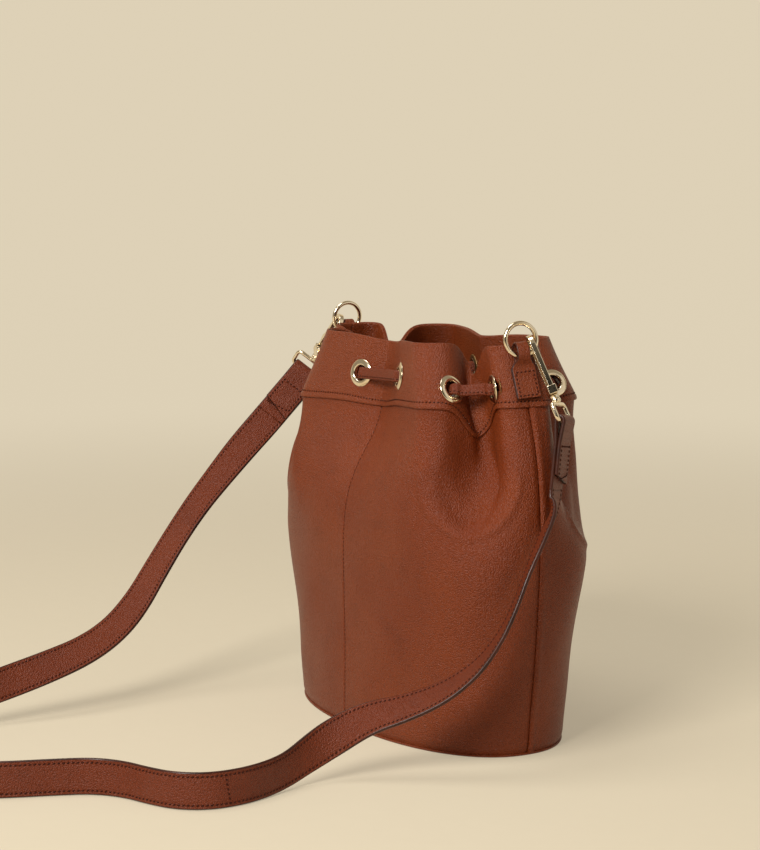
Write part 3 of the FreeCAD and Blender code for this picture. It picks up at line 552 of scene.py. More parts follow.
def wall(name, turns, rises, outer, inner, relief, materials, holes=(), surface=smooth_leather):
    """A wall of leather or cloth between two turns, with rounded edges and its holes.

    Its materials are those of the outside, the edges and the inside.
    """
    outside, inside = [], []
    for rise in rises:
        base, out = surface(turns, rise), facing(surface, turns, rise)
        swell = relief(turns, rise)[:, None]
        outside.append(base + out * (swell + outer))
        inside.append(base + out * (swell + inner))
    outside, inside = np.array(outside), np.array(inside)
    n, last, half = len(rises), len(turns) - 1, (outer - inner) / 2

    def rolled(row, other, from_outside):
        """Half round one edge of the wall."""
        up = units(outside[row] - outside[other])
        middle, arm = (outside[row] + inside[row]) / 2, (outside[row] - inside[row]) / 2
        angles = [math.radians(a) for a in ((45, 90, 135) if from_outside else (135, 90, 45))]
        return [middle + arm * math.cos(a) + up * half * 0.9 * math.sin(a) for a in angles]

    loops = [*outside, *rolled(-1, -2, True), *inside[::-1], *rolled(0, 1, False)]
    count = len(loops)
    points = np.array(loops).transpose(1, 0, 2).reshape(-1, 3)
    cells = (outside[:-1, :-1] + outside[1:, :-1] + outside[:-1, 1:] + outside[1:, 1:]) / 4
    gone = np.zeros(cells.shape[:2], bool)
    for hole in holes:
        arm = cells - hole.origin
        depth = arm @ hole.axes[2]
        away = np.linalg.norm(arm - depth[..., None] * hole.axes[2], axis=2)
        gone |= (np.abs(depth) < CUT_DEPTH) & (away < CUT_RADIUS)
    faces, kinds = [], []
    for k in range(count):
        m, row = (k + 1) % count, k if k < n - 1 else 2 * n + 1 - k
        kind = 0 if k < n - 1 else (2 if n + 3 <= k < 2 * n + 2 else 1)
        for i in range(last):
            if kind != 1 and gone[row, i]:
                continue
            a, b = i * count, (i + 1) * count
            faces.append((a + k, b + k, b + m, a + m))
            kinds.append(kind)
    for row, i in np.argwhere(gone):
        for to_row, to_i, (r0, i0), (r1, i1) in (
                (row - 1, i, (0, 0), (0, 1)), (row + 1, i, (1, 1), (1, 0)),
                (row, i - 1, (1, 0), (0, 0)), (row, i + 1, (0, 1), (1, 1))):
            if gone[to_row, to_i]:
                continue
            a, b = (i + i0) * count, (i + i1) * count
            ra, rb = row + r0, row + r1
            faces.append((a + ra, b + rb, b + 2 * n + 2 - rb, a + 2 * n + 2 - ra))
            kinds.append(1)
    for i in (0, last):
        a = i * count
        loops = [(a + k, a + k + 1, a + 2 * n + 1 - k, a + 2 * n + 2 - k) for k in range(n - 1)]
        loops += [tuple(a + n - 1 + k for k in range(5)),
                  (*(a + 2 * n + 2 + k for k in range(4)), a)]
        faces += [loop if i == 0 else loop[::-1] for loop in loops]
        kinds += [1] * len(loops)
    return tidy(piece(name, points, faces, materials, kinds), False)


# --- camera
ROOM_YAW = 58.9  # of the room and, nearly, of the view
CAMERA_PLACE, CAMERA_YAW, CAMERA_PITCH = (1.3161, -0.7939, 0.403), ROOM_YAW + 1.305, 7.13


def aim(yaw, pitch):
    """The way that a camera looks, turned from Y and down from level, in degrees."""
    a, p = math.radians(yaw), math.radians(pitch)
    return Vector((-math.sin(a) * math.cos(p), math.cos(a) * math.cos(p), -math.sin(p)))


camera_data = bpy.data.cameras.new("camera")
camera = placed("camera", camera_data)
bpy.context.scene.camera = camera
camera.location = CAMERA_PLACE
camera_data.sensor_fit = "AUTO"
camera_data.sensor_width = 36
camera_data.lens = 91.44
camera_data.clip_start, camera_data.clip_end = 0.05, 60
camera.rotation_mode = "QUATERNION"
camera.rotation_quaternion = aim(CAMERA_YAW, CAMERA_PITCH).to_track_quat("-Z", "Y")

# --- where the hooks hang
ENDS = {
    # turn, the ring's lean, the middle of the hook's arch, then ways: down the hook, from its
    # spine to its gate, along its bail, and as the strap leaves
    "near": (1, 16, (124.23, 5.31, 276.98), (0.4339, 0.1848, -0.8818),
             (-0.824, 0.4771, -0.3055), (-0.568, 0.787, -0.243), (0.17, -0.29, -0.942)),
    "far": (3, 12, (-122.16, -7.49, 275.98), (-0.6687, -0.1347, -0.7312),
            (-0.7249, 0.3368, 0.6009), (-0.5, -0.6, 0.63), (0.07, -0.75, -0.66)),
}
TAB_LEATHER, TAB_FOOT, TAB_CLEAR = 1.5, 236, 0.1
RING_HOLE, RING_WIRE, RING_LIFT, RING_PLAY, SWING_ROOM = 18.8, 3.2, 2.2, 0.6, 2.8
RING_SLOT, WIRE_CENTRE = RING_WIRE + RING_PLAY + SWING_ROOM, (RING_HOLE + RING_WIRE) / 2
JAW, HOOK_BAR, HOOK_THICK, HOOK_DEEP, HOOK_BASE, BASE_THICK = 4.8, 2.6, 3.6, 30, 6, 6.2
BAIL_BAR, BAIL_DEEP, BAIL_LOW, BAIL_CORNER = 2.8, 3.0, 54.75, 3.2
BAIL_SIDE, BAIL_HIGH = 12.5 + BAIL_BAR / 2, 41.15 + BAIL_BAR / 2  # the middles of its bars
STRAP_WIDTH, STRAP_THICK, FOLD_ROUND, FOLD_GAP = 24, 2.6, 1.55, 0.05
FLAP, ROOT, TAPER = 42, 46, 15

PLACES = {}
for end, (turn, lean, hook_at, down, to_gate, bail_way, leaves) in ENDS.items():
    foot, rim = off_outline(turn, TAB_FOOT), off_outline(turn, RIM)
    up = unit(rim - foot)
    out = squared(facing(taut_leather, turn, (TAB_FOOT + RIM) / 2)[0], up)
    standing = TAB_CLEAR + max((off_outline(turn, rise) - foot) @ out
                               for rise in range(TAB_FOOT, RIM + 1, 4))
    tab_place = Place(foot, out, np.cross(up, out), up)
    centre = np.linalg.norm(rim - foot) + RING_LIFT
    fold = (standing + TAB_LEATHER + RING_SLOT / 2, 0, centre - WIRE_CENTRE)
    c, s = math.cos(math.radians(lean)), math.sin(math.radians(lean))
    leaned = tab_place.inner(fold, (c, 0, -s), (0, 1, 0), (s, 0, c))
    bail_place = hung(hook_at, bail_way, down)
    bar = bail_place((0, 0, BAIL_LOW))
    width_way = bail_place.way((1, 0, 0))
    leaves = squared(np.asarray(leaves), width_way)
    flap_side = np.cross(leaves, width_way) * (1 if end == "near" else -1)
    PLACES[end] = {
        "tab": tab_place.inner((standing, 0, 0)), "ring": leaned.inner((0, 0, WIRE_CENTRE)),
        "hook": hung(hook_at, to_gate, down), "bail": bail_place,
        "fold": hung(bar, flap_side, leaves), "centre": centre, "width_way": width_way}

# --- shoulder strap
# The way that the strap lies: middles in metres, and the tilt of its width from level.
ROUTE = [
    (0.156, 0, 0.167, 8), (0.16, -0.011, 0.1505, 4), (0.162, -0.022, 0.1328, 0),
    (0.163, -0.031, 0.1132, 0), (0.162, -0.042, 0.0924, 4), (0.157, -0.056, 0.0727, 12),
    (0.148, -0.076, 0.0566, 22), (0.136, -0.098, 0.0462, 32), (0.124, -0.12, 0.0398, 48),
    (0.118, -0.14, 0.0298, 66), (0.118, -0.16, 0.0203, 82), (0.123, -0.179, 0.0134, 90),
    (0.132, -0.199, 0.0121, 90), (0.138, -0.22, 0.0121, 90), (0.137, -0.241, 0.0121, 90),
    (0.126, -0.258, 0.0121, 90), (0.108, -0.268, 0.0121, 90), (0.086, -0.276, 0.0121, 90),
    (0.069, -0.291, 0.0121, 90), (0.06, -0.314, 0.0121, 90), (0.051, -0.34, 0.0121, 90),
    (0.038, -0.368, 0.0121, 90), (0.016, -0.395, 0.0121, 90), (-0.014, -0.414, 0.0121, 90),
    (-0.047, -0.419, 0.0121, 90), (-0.077, -0.408, 0.0121, 90), (-0.099, -0.384, 0.0126, 90),
    (-0.113, -0.352, 0.0155, 88), (-0.12, -0.317, 0.021, 86), (-0.123, -0.281, 0.0284, 82),
    (-0.124, -0.246, 0.0366, 78), (-0.1275, -0.214, 0.045, 72), (-0.1345, -0.188, 0.0565, 66),
    (-0.1425, -0.167, 0.073, 60), (-0.1485, -0.149, 0.0946, 54), (-0.153, -0.13, 0.118, 48),
    (-0.156, -0.111, 0.14, 44), (-0.157, -0.092, 0.16, 40), (-0.157, -0.072, 0.181, 38),
]
# How much further the last stretch rolls over, in degrees, at each of ROUTE's last points.
ROLL = [12, 26, 38, 46, 50, 50, 48, 42, 32, 16]
# The way that the strap is wide where its tilt is 0: on the near run, and past it.
AWAY, LEAN = Vector((-0.856, 0.517, 0)), Vector((-0.62, -0.70, 0.35))
SIDE_STEP = 0.01  # metres from the strap's middle line to the line beside it


def spline(name, points):
    """The points along a smooth curve that has these control points, in metres."""
    data = bpy.data.curves.new(name, "CURVE")
    data.dimensions = "3D"
    line = data.splines.new("NURBS")
    line.points.add(len(points) - 1)
    for point, place in zip(line.points, points):
        point.co = (*place, 1)
    line.order_u = 3
    line.use_endpoint_u = True
    data.resolution_u = 10
    item = placed(name, data)
    mesh = bpy.data.meshes.new_from_object(item)
    places = np.array([v.co[:] for v in mesh.vertices])
    bpy.data.meshes.remove(mesh)
    bpy.data.objects.remove(item)
    return places


def strap_way(point):
    """The way that the strap is wide at one of ROUTE's points, before it rolls."""
    x, y, _, tilt = point
    level = AWAY if y > -0.3 and x > 0 else LEAN
    a = math.radians(tilt)
    return (level * math.cos(a) + Vector((0, 0, 1)) * math.sin(a)).normalized()


def strap_end(end):
    """Where the strap leaves its fold, a little further on, and the way that it is wide."""
    place = PLACES[end]["fold"]
    middle = -(STRAP_THICK + FOLD_GAP) / 2
    return [(Vector(place((middle, 0, ROOT + on)) * MM), Vector(PLACES[end]["width_way"]))
            for on in (0.1, 9)]


def rolled_way(count):
    """The same with its roll, for the point of this count."""
    way, late = strap_way(ROUTE[count]), count - len(ROUTE) + len(ROLL)
    if late < 0:
        return way
    ahead = Vector(ROUTE[min(count + 1, len(ROUTE) - 1)][:3]) - Vector(ROUTE[count - 1][:3])
    return Quaternion(ahead.normalized(), -math.radians(ROLL[late])) @ way


guides = strap_end("near") + [(Vector(p[:3]), rolled_way(i)) for i, p in enumerate(ROUTE)]
guides += strap_end("far")[::-1]
middle_line = spline("strap_line", [p for p, _ in guides])
side_line = spline("strap_side", [p + w * SIDE_STEP for p, w in guides])


def band_frames(middles, sides):
    """Along a band, in millimetres: its middles, and the ways across it and out of its face."""
    middles, sides = np.asarray(middles) / MM, np.asarray(sides) / MM
    steps = np.linalg.norm(np.diff(middles, axis=0), axis=1)
    keep = np.concatenate([[True], steps > 1e-4])
    middles, sides = middles[keep], sides[keep]
    tangent = units(np.gradient(middles, axis=0))
    across = all_squared(sides - middles, tangent)
    return middles, across, np.cross(tangent, across)


EDGE_SHARE = 0.7  # of half the thickness, in which an edge rounds
SEWN_DEEP, SEWN_WIDE = 0.2, 0.7


def band_section(width, thick, sewn=None, crown=0.0):
    """A loop with round edges, whose faces are drawn in along stitches sewn this far in."""
    half, t = width / 2, thick / 2
    face = []
    for x in np.linspace(-1, 1, 25 if sewn else 11):
        place = x * (half - t * EDGE_SHARE)
        pull = math.exp(-(((abs(place) - (half - sewn)) / SEWN_WIDE) ** 2)) if sewn else 0
        face.append((place, t * (1 - SEWN_DEEP * pull) + crown * (1 - x * x)))
    edge = [(half - t * EDGE_SHARE + t * EDGE_SHARE * math.sin(a), t * math.cos(a))
            for a in (0.5, 1.0, math.pi / 2, math.pi - 1.0, math.pi - 0.5)]
    loop = face + edge + [(x, -z) for x, z in face[::-1]] + [(-x, -z) for x, z in edge]
    n = len(face) - 1
    return loop, [0] * n + [1] * 6 + [0] * n + [1] * 6


def band(name, frames, section, materials, closed=False):
    """A strip of leather along a line."""
    loop, kinds = section
    sections = [middle + np.outer([p[0] for p in loop], a) + np.outer([p[1] for p in loop], f)
                for middle, a, f in zip(*frames)]
    return sleeve(name, sections, materials, kinds, closed)


STRAP_SEAM = 2.9
strap_frames = band_frames(middle_line, side_line)
strap = band("strap_leather", strap_frames, band_section(STRAP_WIDTH, STRAP_THICK, STRAP_SEAM),
             [STRAP_LEATHER, EDGE])
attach(strap, "bag")
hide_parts("shoulder_strap")

# --- walls
TURN_RUN = 180  # how many millimetres of leather one turn is, roughly


def no_relief(turns, _):
    """Flat at any rise."""
    return np.zeros(len(turns))


LAP, LAP_AT, LAP_WIDE, NICK_AT, NICK_WIDE = 0.9, 2.6, 2.6, 0.6, 1.1  # of the edge over the seam


def side_seams(turns):
    """The back panel's turned edge laps the front one at each end."""
    swell = np.zeros(len(turns))
    for seam, way in ((1, 1), (3, -1)):
        away = apart(turns, seam) * way * TURN_RUN
        swell += np.where(away > 0, LAP * np.exp(-((away - LAP_AT) / LAP_WIDE) ** 2), 0)
        swell -= LAP * np.exp(-((away + NICK_AT) / NICK_WIDE) ** 2)
    return swell


def panel_relief(turns, rise):
    """The side seams, the seam down each face, and the edge turned in above the base."""
    swell = side_seams(turns)
    for middle in (0, 2):
        swell -= 0.55 * np.exp(-((apart(turns, middle) * TURN_RUN) / 0.9) ** 2)
    swell -= 1.0 * float(ease(7, PANEL_FOOT, rise)) ** 2 if rise < 7 else 0.0
    return swell


def collar_relief(turns, rise):
    """The groove that the collar's stitches pull in."""
    return -0.45 * math.exp(-((rise - SEAM_STITCHES) / 0.8) ** 2) * np.ones(len(turns))


def eyelet_place(turn, rise):
    """An eyelet's frame: Z straight out of the leather, Y up it."""
    out = outward(turn, rise)[0]
    below, middle, above = (smooth_leather(turn, rise + step)[0] for step in (-5, 0, 5))
    up = squared(above - below, out)
    return Place(middle, np.cross(up, out), up, out)


# The eyelets of a quarter: share, rise, and how far each slides towards the near end.
IN_QUARTER = ((0.18, 251, 0.055), (0.585, 245, 0), (0.86, 245, 0))
eyelets = []
for quarter in range(4):
    for share, rise, slide in IN_QUARTER:
        turn = quarter + (share if quarter % 2 == 0 else 1 - share)
        eyelets.append((turn + slide * (1 if quarter in (0, 3) else -1), rise))
HOLES = [eyelet_place(*eyelet) for eyelet in sorted(eyelets)]

GAP = 0.05 / LEVELS[130][0]  # half of what parts the front from the back, in turns
STEPS = 361
FRONT, BACK = (-1 + GAP, 1 - GAP), (1 + GAP, 3 - GAP)
PANEL_RISES = [PANEL_FOOT, 2.4, 3.2, *np.arange(4.4, 234, 2.0), PANEL_TOP]
COLLAR_RISES = [COLLAR_FOOT, 231.6, 232.4, *np.arange(233, RIM, 1.25), RIM]
FACING_RISES = [*np.arange(FACING_FOOT, RIM, 1.5), RIM]
LINING_RISES = [LINING_FOOT, *np.arange(10, LINING_TOP, 6.0), LINING_TOP]
LINING_SLACK = 0.75  # of the leather's


def lining_relief(turns, rise):
    """The lining follows the leather, but less."""
    return slack(turns, rise) * LINING_SLACK


bag = {}
for side, ends in (("front", FRONT), ("back", BACK)):
    turns = np.linspace(*ends, STEPS)
    bag[side + "_panel"] = wall(side + "_panel_leather", turns, PANEL_RISES, 0, -PANEL,
                                panel_relief, [LEATHER, LEATHER, BACK_OF_LEATHER])
    bag["collar_" + side] = wall(
        "collar_" + side + "_leather", turns, COLLAR_RISES, COLLAR_OUT, COLLAR_IN,
        collar_relief, [COLLAR_LEATHER] * 3, HOLES)
    bag["facing_" + side] = wall(
        "facing_" + side + "_leather", turns, FACING_RISES, 0, -FACING, no_relief,
        [COLLAR_LEATHER] * 3, HOLES)
    bag["lining_" + side] = wall(
        "lining_" + side + "_cloth", turns[::4], LINING_RISES, -LINING_EASE,
        -LINING_EASE - LINING, lining_relief, [LINING_CLOTH] * 3, surface=taut_leather)


def base_plate(name, inset, low, thick, material):
    """A flat plate of the base's outline with a rounded edge."""
    turns, flat = np.linspace(-1, 3, 321)[:-1], (1, 1, 0)
    points = smooth_leather(turns, 0) * flat
    across = smooth_leather(turns + TURN_STEP, 0) - smooth_leather(turns - TURN_STEP, 0)
    out = units(np.cross(across * flat, (0, 0, 1)))
    r = thick / 2
    loops = [points - out * (inset + r - r * math.sin(a)) + (0, 0, low + r - r * math.cos(a))
             for a in np.linspace(0, math.pi, 9)]
    n = len(turns)
    faces = quads(len(loops), n)
    faces += [tuple(range(n))[::-1], tuple((len(loops) - 1) * n + i for i in range(n))]
    return tidy(piece(name, np.concatenate(loops), faces, [material]))


bag["base_leather"] = base_plate("base_leather_round", 0, 0, 1.6, LEATHER)
bag["lining_base"] = base_plate("lining_base_cloth", 1.7, 3.8, 0.7, LINING_CLOTH)
for name, item in bag.items():
    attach(item, "bag")
    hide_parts(name)
    "lining" if "lining" in name else "body_leather"
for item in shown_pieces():
    if item.get("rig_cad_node") == "base_board":
        for place in item.material_slots:
            place.material = BOARD


# --- metal and small leather
class Shapes:
    """Several closed shapes, in millimetres, that go into one mesh."""

    def __init__(self):
        self.points, self.faces = [], []

    def add(self, points, faces):
        n = len(self.points)
        self.points += [tuple(point) for point in points]
        self.faces += [tuple(n + i for i in face) for face in faces]

    def turned(self, place, profile, sides):
        """Turned about the place's Z from (radius, height) pairs; radius 0 makes a pole."""
        rows, points = [], []
        for radius, height in profile:
            angles = [0] if radius == 0 else [2 * math.pi * k / sides for k in range(sides)]
            rows.append([len(points) + k for k in range(len(angles))])
            points += [place((radius * math.cos(a), radius * math.sin(a), height))
                       for a in angles]
        pairs = list(zip(rows, rows[1:]))
        if profile[0][0]:
            pairs.append((rows[-1], rows[0]))
        faces = []
        for one, two in pairs:
            for k in range(sides):
                quad = [one[k % len(one)], one[(k + 1) % len(one)],
                        two[(k + 1) % len(two)], two[k % len(two)]]
                quad = [q for i, q in enumerate(quad) if q not in quad[:i]]
                if len(quad) > 2:
                    faces.append(tuple(quad))
        self.add(points, faces)

    def plate(self, place, outline, thick):
        """Cut from an outline of (X, Z) pairs, thick along Y."""
        n = len(outline)
        points = [place((x, y, z)) for y in (-thick / 2, thick / 2) for x, z in outline]
        self.add(points, quads(2, n) + [tuple(range(n))[::-1], tuple(range(n, 2 * n))])

    def bar(self, place, path, section):
        """A closed loop of bar in the place's X and Z; the section is (in plane, along Y)."""
        path = np.array(path, float)
        ahead = units(np.roll(path, -1, 0) - np.roll(path, 1, 0))
        points = [place((x - tz * a, b, z + tx * a))
                  for (x, z), (tx, tz) in zip(path, ahead) for a, b in section]
        self.add(points, quads(len(path), len(section), True))

    def made(self, name, material, body, node, bevel=0.0):
        """The piece, riding on its body in place of its node, with its edges eased by a bevel."""
        item = tidy(piece(name, self.points, self.faces, [material]), False)
        if bevel:
            softened = item.modifiers.new("softened", "BEVEL")
            softened.width, softened.segments = bevel * MM, 3
            softened.limit_method, softened.angle_limit = "ANGLE", math.radians(35)
            softened.harden_normals = True
        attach(item, body)
        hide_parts(node)


def arc(x, z, radius, first, last, steps):
    """Points round (x, z); 0 degrees is along X and 90 along Z."""
    return [(x + radius * math.cos(math.radians(a)), z + radius * math.sin(math.radians(a)))
            for a in np.linspace(first, last, steps)]


def round_bar(wide, deep, corner):
    """A bar's section with rounded corners."""
    x, y = wide / 2 - corner, deep / 2 - corner
    return [p for cx, cy, start in ((x, y, 0), (-x, y, 90), (-x, -y, 180), (x, -y, 270))
            for p in arc(cx, cy, corner, start, start + 90, 4)]


# eyelets: a domed flange with a rolled lip outside, a washer inside
HOLE, BARREL, BARREL_END, UNDER = 5.5, 6.2, -2.3, 1.7
FLANGE = [(HOLE, BARREL_END), (HOLE, UNDER + 0.2)]
FLANGE += [(HOLE + 1.1 - 1.1 * math.cos(a), UNDER + 0.2 + 1.1 * math.sin(a))
           for a in np.linspace(0.25, math.pi / 2, 6)]
FLANGE += [(7.5, 2.95), (8.4, 2.75), (9.2, 2.42), (9.75, 2.08), (10.0, 1.85), (9.94, 1.72),
           (9.6, UNDER), (BARREL, UNDER), (BARREL, BARREL_END)]
WASHER = [(6.32, -1.3), (9.1, -1.3), (9.25, -1.38), (9.1, -1.55), (8.4, -1.85), (7.5, -2.1),
          (6.7, -2.25), (6.32, -2.3)]
flanges, washers = Shapes(), Shapes()
for hole in HOLES:
    flanges.turned(hole, FLANGE, 48)
    washers.turned(hole, WASHER, 32)
flanges.made("eyelet_flanges_domed", GOLD, "bag", "eyelet_flanges")
washers.made("eyelet_washers_round", GOLD_INSIDE, "bag", "eyelet_washers")

# drawstring: a folded strip that weaves through the eyelets
STRING_WIDTH, STRING_THICK, STRING_TURNS = 8.2, 2.4, 6.2
STRING_OUT, STRING_IN = UNDER + 1.3 + 0.4 + 1.2, BARREL_END - 0.4 - 1.2


def through(places):
    """Control points and their up ways for a strip that weaves through the eyelets."""
    points, ups = [], []
    for count, place in enumerate(places):
        before, after = places[count - 1], places[(count + 1) % len(places)]
        first, last = (STRING_OUT, STRING_IN) if count % 2 == 0 else (STRING_IN, STRING_OUT)
        for neighbour, reach in ((before, first), (after, last)):
            way = neighbour.origin - place.origin
            way = squared(way, place.axes[2]) * STRING_TURNS
            corner = place((0, 0, reach))
            pair = [corner + way, corner]
            points += pair if neighbour is before else pair[::-1]
            ups += [place.axes[1]] * 2
    return np.array(points), np.array(ups)


def smooth_loop(points):
    """A closed quadratic B-spline through the middles of its runs."""
    t = np.linspace(0, 1, 9)[:-1][:, None]
    after, later = np.roll(points, -1, 0), np.roll(points, -2, 0)
    return np.concatenate([((1 - t) ** 2 * a + (1 + 2 * t - 2 * t * t) * b + t * t * c) / 2
                           for a, b, c in zip(points, after, later)])


controls, ups = through(HOLES)
string_line, string_up = smooth_loop(controls), smooth_loop(ups)
tangent = units(np.roll(string_line, -1, 0) - np.roll(string_line, 1, 0))
string_up = all_squared(string_up, tangent)
string_face = np.cross(string_up, tangent)
drawstring = band("drawstring_strip", (string_line, string_up, string_face),
                  band_section(STRING_WIDTH, STRING_THICK, crown=0.15), [STRAP_LEATHER] * 2, True)
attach(drawstring, "bag")
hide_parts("drawstring")


# --- tabs, rings, hooks and folds
def strip(name, place, path, thick, halves, cut, materials, node):
    """Leather bent along a path of (X, Z) in a place, wide along its Y.

    It has half widths and, where its end is cut aslant, how far it leans at them.
    """
    sections = []
    for (x, z), (tx, tz), half, slant in zip(path, units(np.gradient(path, axis=0)), halves, cut):
        section, kinds = band_section(half * 2, thick)
        lean = slant / half
        sections.append([place((x - tz * b + tx * lean * a, a, z + tx * b + tz * lean * a))
                         for a, b in section])
    item = sleeve(name, sections, materials, kinds)
    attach(item, "bag")
    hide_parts(node)


def run(*corners):
    """Points about a millimetre apart along straight runs between corners."""
    points = [corners[0]]
    for a, b in zip(corners, corners[1:]):
        count = max(1, round(math.dist(a, b)))
        points += [(a[0] + (b[0] - a[0]) * k / count, a[1] + (b[1] - a[1]) * k / count)
                   for k in range(1, count + 1)]
    return points


def tab_path(centre):
    """From the foot of the inner leg up, over the ring and down the outer leg, and its neck."""
    t, slot = TAB_LEATHER, RING_SLOT
    low = centre - RING_HOLE / 2 - RING_WIRE - 0.3
    top = centre - RING_HOLE / 2 * 0.4
    inner, outer = t / 2, t + slot + t / 2
    reach = (outer - inner) / 2
    arch = arc((inner + outer) / 2, top + t / 2 - reach + 1.2, reach, 180, 0, 15)
    flare = [(outer, arch[-1][1] - 0.5), (outer, low + 3.4), (outer - 0.9, low + 0.6),
             (t * 2.2, low - 3.4), (t * 1.52, low - 6.4), (t * 1.5, low - 8)]
    return (run((inner, 0.2), (inner, arch[0][1])) + arch + run(*flare)
            + run((t * 1.5, low - 8), (t * 1.5, 0.2))), low


def softened_path(path, rounds):
    """Corners eased, with both ends kept."""
    path = np.array(path, float)
    for _ in range(rounds):
        path[1:-1] = path[1:-1] * 0.5 + (path[:-2] + path[2:]) * 0.25
    return path


TAB_HALF, TAB_NARROWS = 8.5, 4.0
ARM_HALF, ARM_REACH = 1.75, JAW + 2.9  # of the base's two arms, which hold the gate between them
SPINE, SPINE_END = -JAW - HOOK_BAR, HOOK_DEEP + 0.6
JAW_TIP, GATE_GAP, GATE_WIDE, GATE_THICK = 4.8, 0.3, 2.6, 3.2
THUMB_THICK, THUMB_ROUND, THUMB_OUT, THUMB_AT = 3.0, 5.5, 1.6, 22
STOP_BACK, STOP_TOP, STOP_END, STOP_THICK = JAW - 1.4, 34.6, 36, 3.6  # for the open gate
PIN_AT = HOOK_DEEP + HOOK_BASE / 2
PIN = [(0, -3.25), (0.6, -3.22), (1.0, -3.0), (1.0, 3.0), (0.6, 3.22), (0, 3.25)]
SWIVEL = [(0, 28.45), (2.4, 28.45), (2.7, 28.75), (2.7, 29.55), (2.4, 29.85), (1.5, 29.85),
          (1.5, 36.15), (2.9, 36.15), (3.4, 36.6), (3.4, 37.5), (3.1, 37.9), (3.1, 38.6),
          (3.4, 39.0), (3.4, 41.0), (2.6, 41.9), (0, 42.2)]
FLAP_SLANT = 3.2


def box(x0, x1, z0, z1):
    """The corners of a rectangle."""
    return [(x0, z0), (x1, z0), (x1, z1), (x0, z1)]


def make_tab(end, at):
    """The folded tab that holds the ring."""
    path, low = tab_path(at["centre"])
    path = softened_path(path, 3)
    at["tab_low"] = low
    halves = [TAB_HALF - TAB_NARROWS * float(ease(low - 6, low + 1, z)) for _, z in path]
    strip(end + "_tab_folded", at["tab"], path, TAB_LEATHER, halves, [0] * len(path),
          [COLLAR_LEATHER, EDGE], end + "_tab")


def make_ring(end, at):
    """The round ring."""
    ring, wire = Shapes(), RING_WIRE / 2
    along_x = at["ring"].inner((0, 0, 0), (0, 1, 0), (0, 0, 1), (1, 0, 0))
    ring.turned(along_x, [(WIRE_CENTRE + wire * math.cos(a), wire * math.sin(a))
                          for a in np.linspace(0, 2 * math.pi, 17)[:-1]], 72)
    ring.made(end + "_ring_polished", GOLD, end + "_ring", end + "_ring")


def make_hook(end, at):
    """The hook's body, its gate with the thumb piece, and the pin that the gate turns on."""
    hook, here = Shapes(), at["hook"]
    outline = [(SPINE, SPINE_END)] + arc(0, 0, JAW + HOOK_BAR, 180, 360, 33)
    outline += [(JAW + HOOK_BAR, JAW_TIP), (JAW, JAW_TIP)] + arc(0, 0, JAW, 360, 180, 33)
    outline += [(-JAW, SPINE_END)]
    hook.plate(here, outline, HOOK_THICK)
    across = here.inner((0, 0, PIN_AT), (1, 0, 0), (0, 0, -1), (0, 1, 0))
    side = BASE_THICK / 2
    yoke = [(SPINE, -side), (ARM_REACH, -side), (ARM_REACH, -ARM_HALF), (JAW - 1, -ARM_HALF),
            (JAW - 1, ARM_HALF), (ARM_REACH, ARM_HALF), (ARM_REACH, side), (SPINE, side)]
    hook.plate(across, yoke, HOOK_BASE)
    hook.plate(here, box(STOP_BACK, ARM_REACH, STOP_TOP, STOP_END), STOP_THICK)
    hook.made(end + "_hook_polished", GOLD, end + "_hook", end + "_hook_body", 0.55)

    gate, half = Shapes(), GATE_THICK / 2
    gate.plate(here, box(JAW, JAW + GATE_WIDE, JAW_TIP + GATE_GAP, PIN_AT), GATE_THICK)
    thumb = JAW + GATE_WIDE - THUMB_ROUND + THUMB_OUT
    edge = math.degrees(math.acos((JAW + 0.15 - thumb) / THUMB_ROUND))
    gate.plate(here, arc(thumb, THUMB_AT, THUMB_ROUND, -edge, edge, 31), THUMB_THICK)
    hinge = across.inner((JAW + GATE_WIDE / 2, 0, 0))
    gate.turned(hinge, [(0, -half), (GATE_WIDE / 2, -half), (GATE_WIDE / 2, half), (0, half)], 28)
    gate.made(end + "_gate_polished", GOLD, end + "_gate", end + "_hook_gate", 0.45)

    pin = Shapes()
    pin.turned(hinge, PIN, 24)
    pin.made(end + "_pin_domed", GOLD, end + "_hook", end + "_gate_pin")


def make_bail(end, at):
    """The swivel's stem and head, and the closed loop that the strap's fold hangs on."""
    bail = Shapes()
    bail.turned(at["bail"], SWIVEL, 32)
    side, low, high = BAIL_SIDE - BAIL_CORNER, BAIL_LOW - BAIL_CORNER, BAIL_HIGH + BAIL_CORNER
    path = [point for x, z, start in ((side, low, 90), (side, high, 0), (-side, high, -90),
                                      (-side, low, 180))
            for point in arc(x, z, BAIL_CORNER, start, start - 90, 9)]
    bail.bar(at["bail"], path, round_bar(BAIL_BAR, BAIL_DEEP, 1.1))
    bail.made(end + "_bail_polished", GOLD, "bag", end + "_bail")


def make_fold(end, at):
    """The strap's end, from the tip of its flap round the bail to the strap."""
    round_at, legs = FOLD_ROUND + STRAP_THICK / 2, (STRAP_THICK + FOLD_GAP) / 2
    path = run((legs, FLAP - FLAP_SLANT), (legs, TAPER), (round_at, 0))[:-1]
    path += arc(0, 0, round_at, 0, -180, 15)
    path = softened_path(path + run((-round_at, 0), (-legs, TAPER), (-legs, ROOT))[1:], 4)
    slant = [FLAP_SLANT * max(0.0, 1 - count / 9) for count in range(len(path))]
    strip(end + "_fold_leather", at["fold"], path, STRAP_THICK, [STRAP_WIDTH / 2] * len(path),
          slant, [STRAP_LEATHER, EDGE], end + "_strap_fold")


for end, at in PLACES.items():
    for make in (make_tab, make_ring, make_hook, make_bail, make_fold):
        make(end, at)


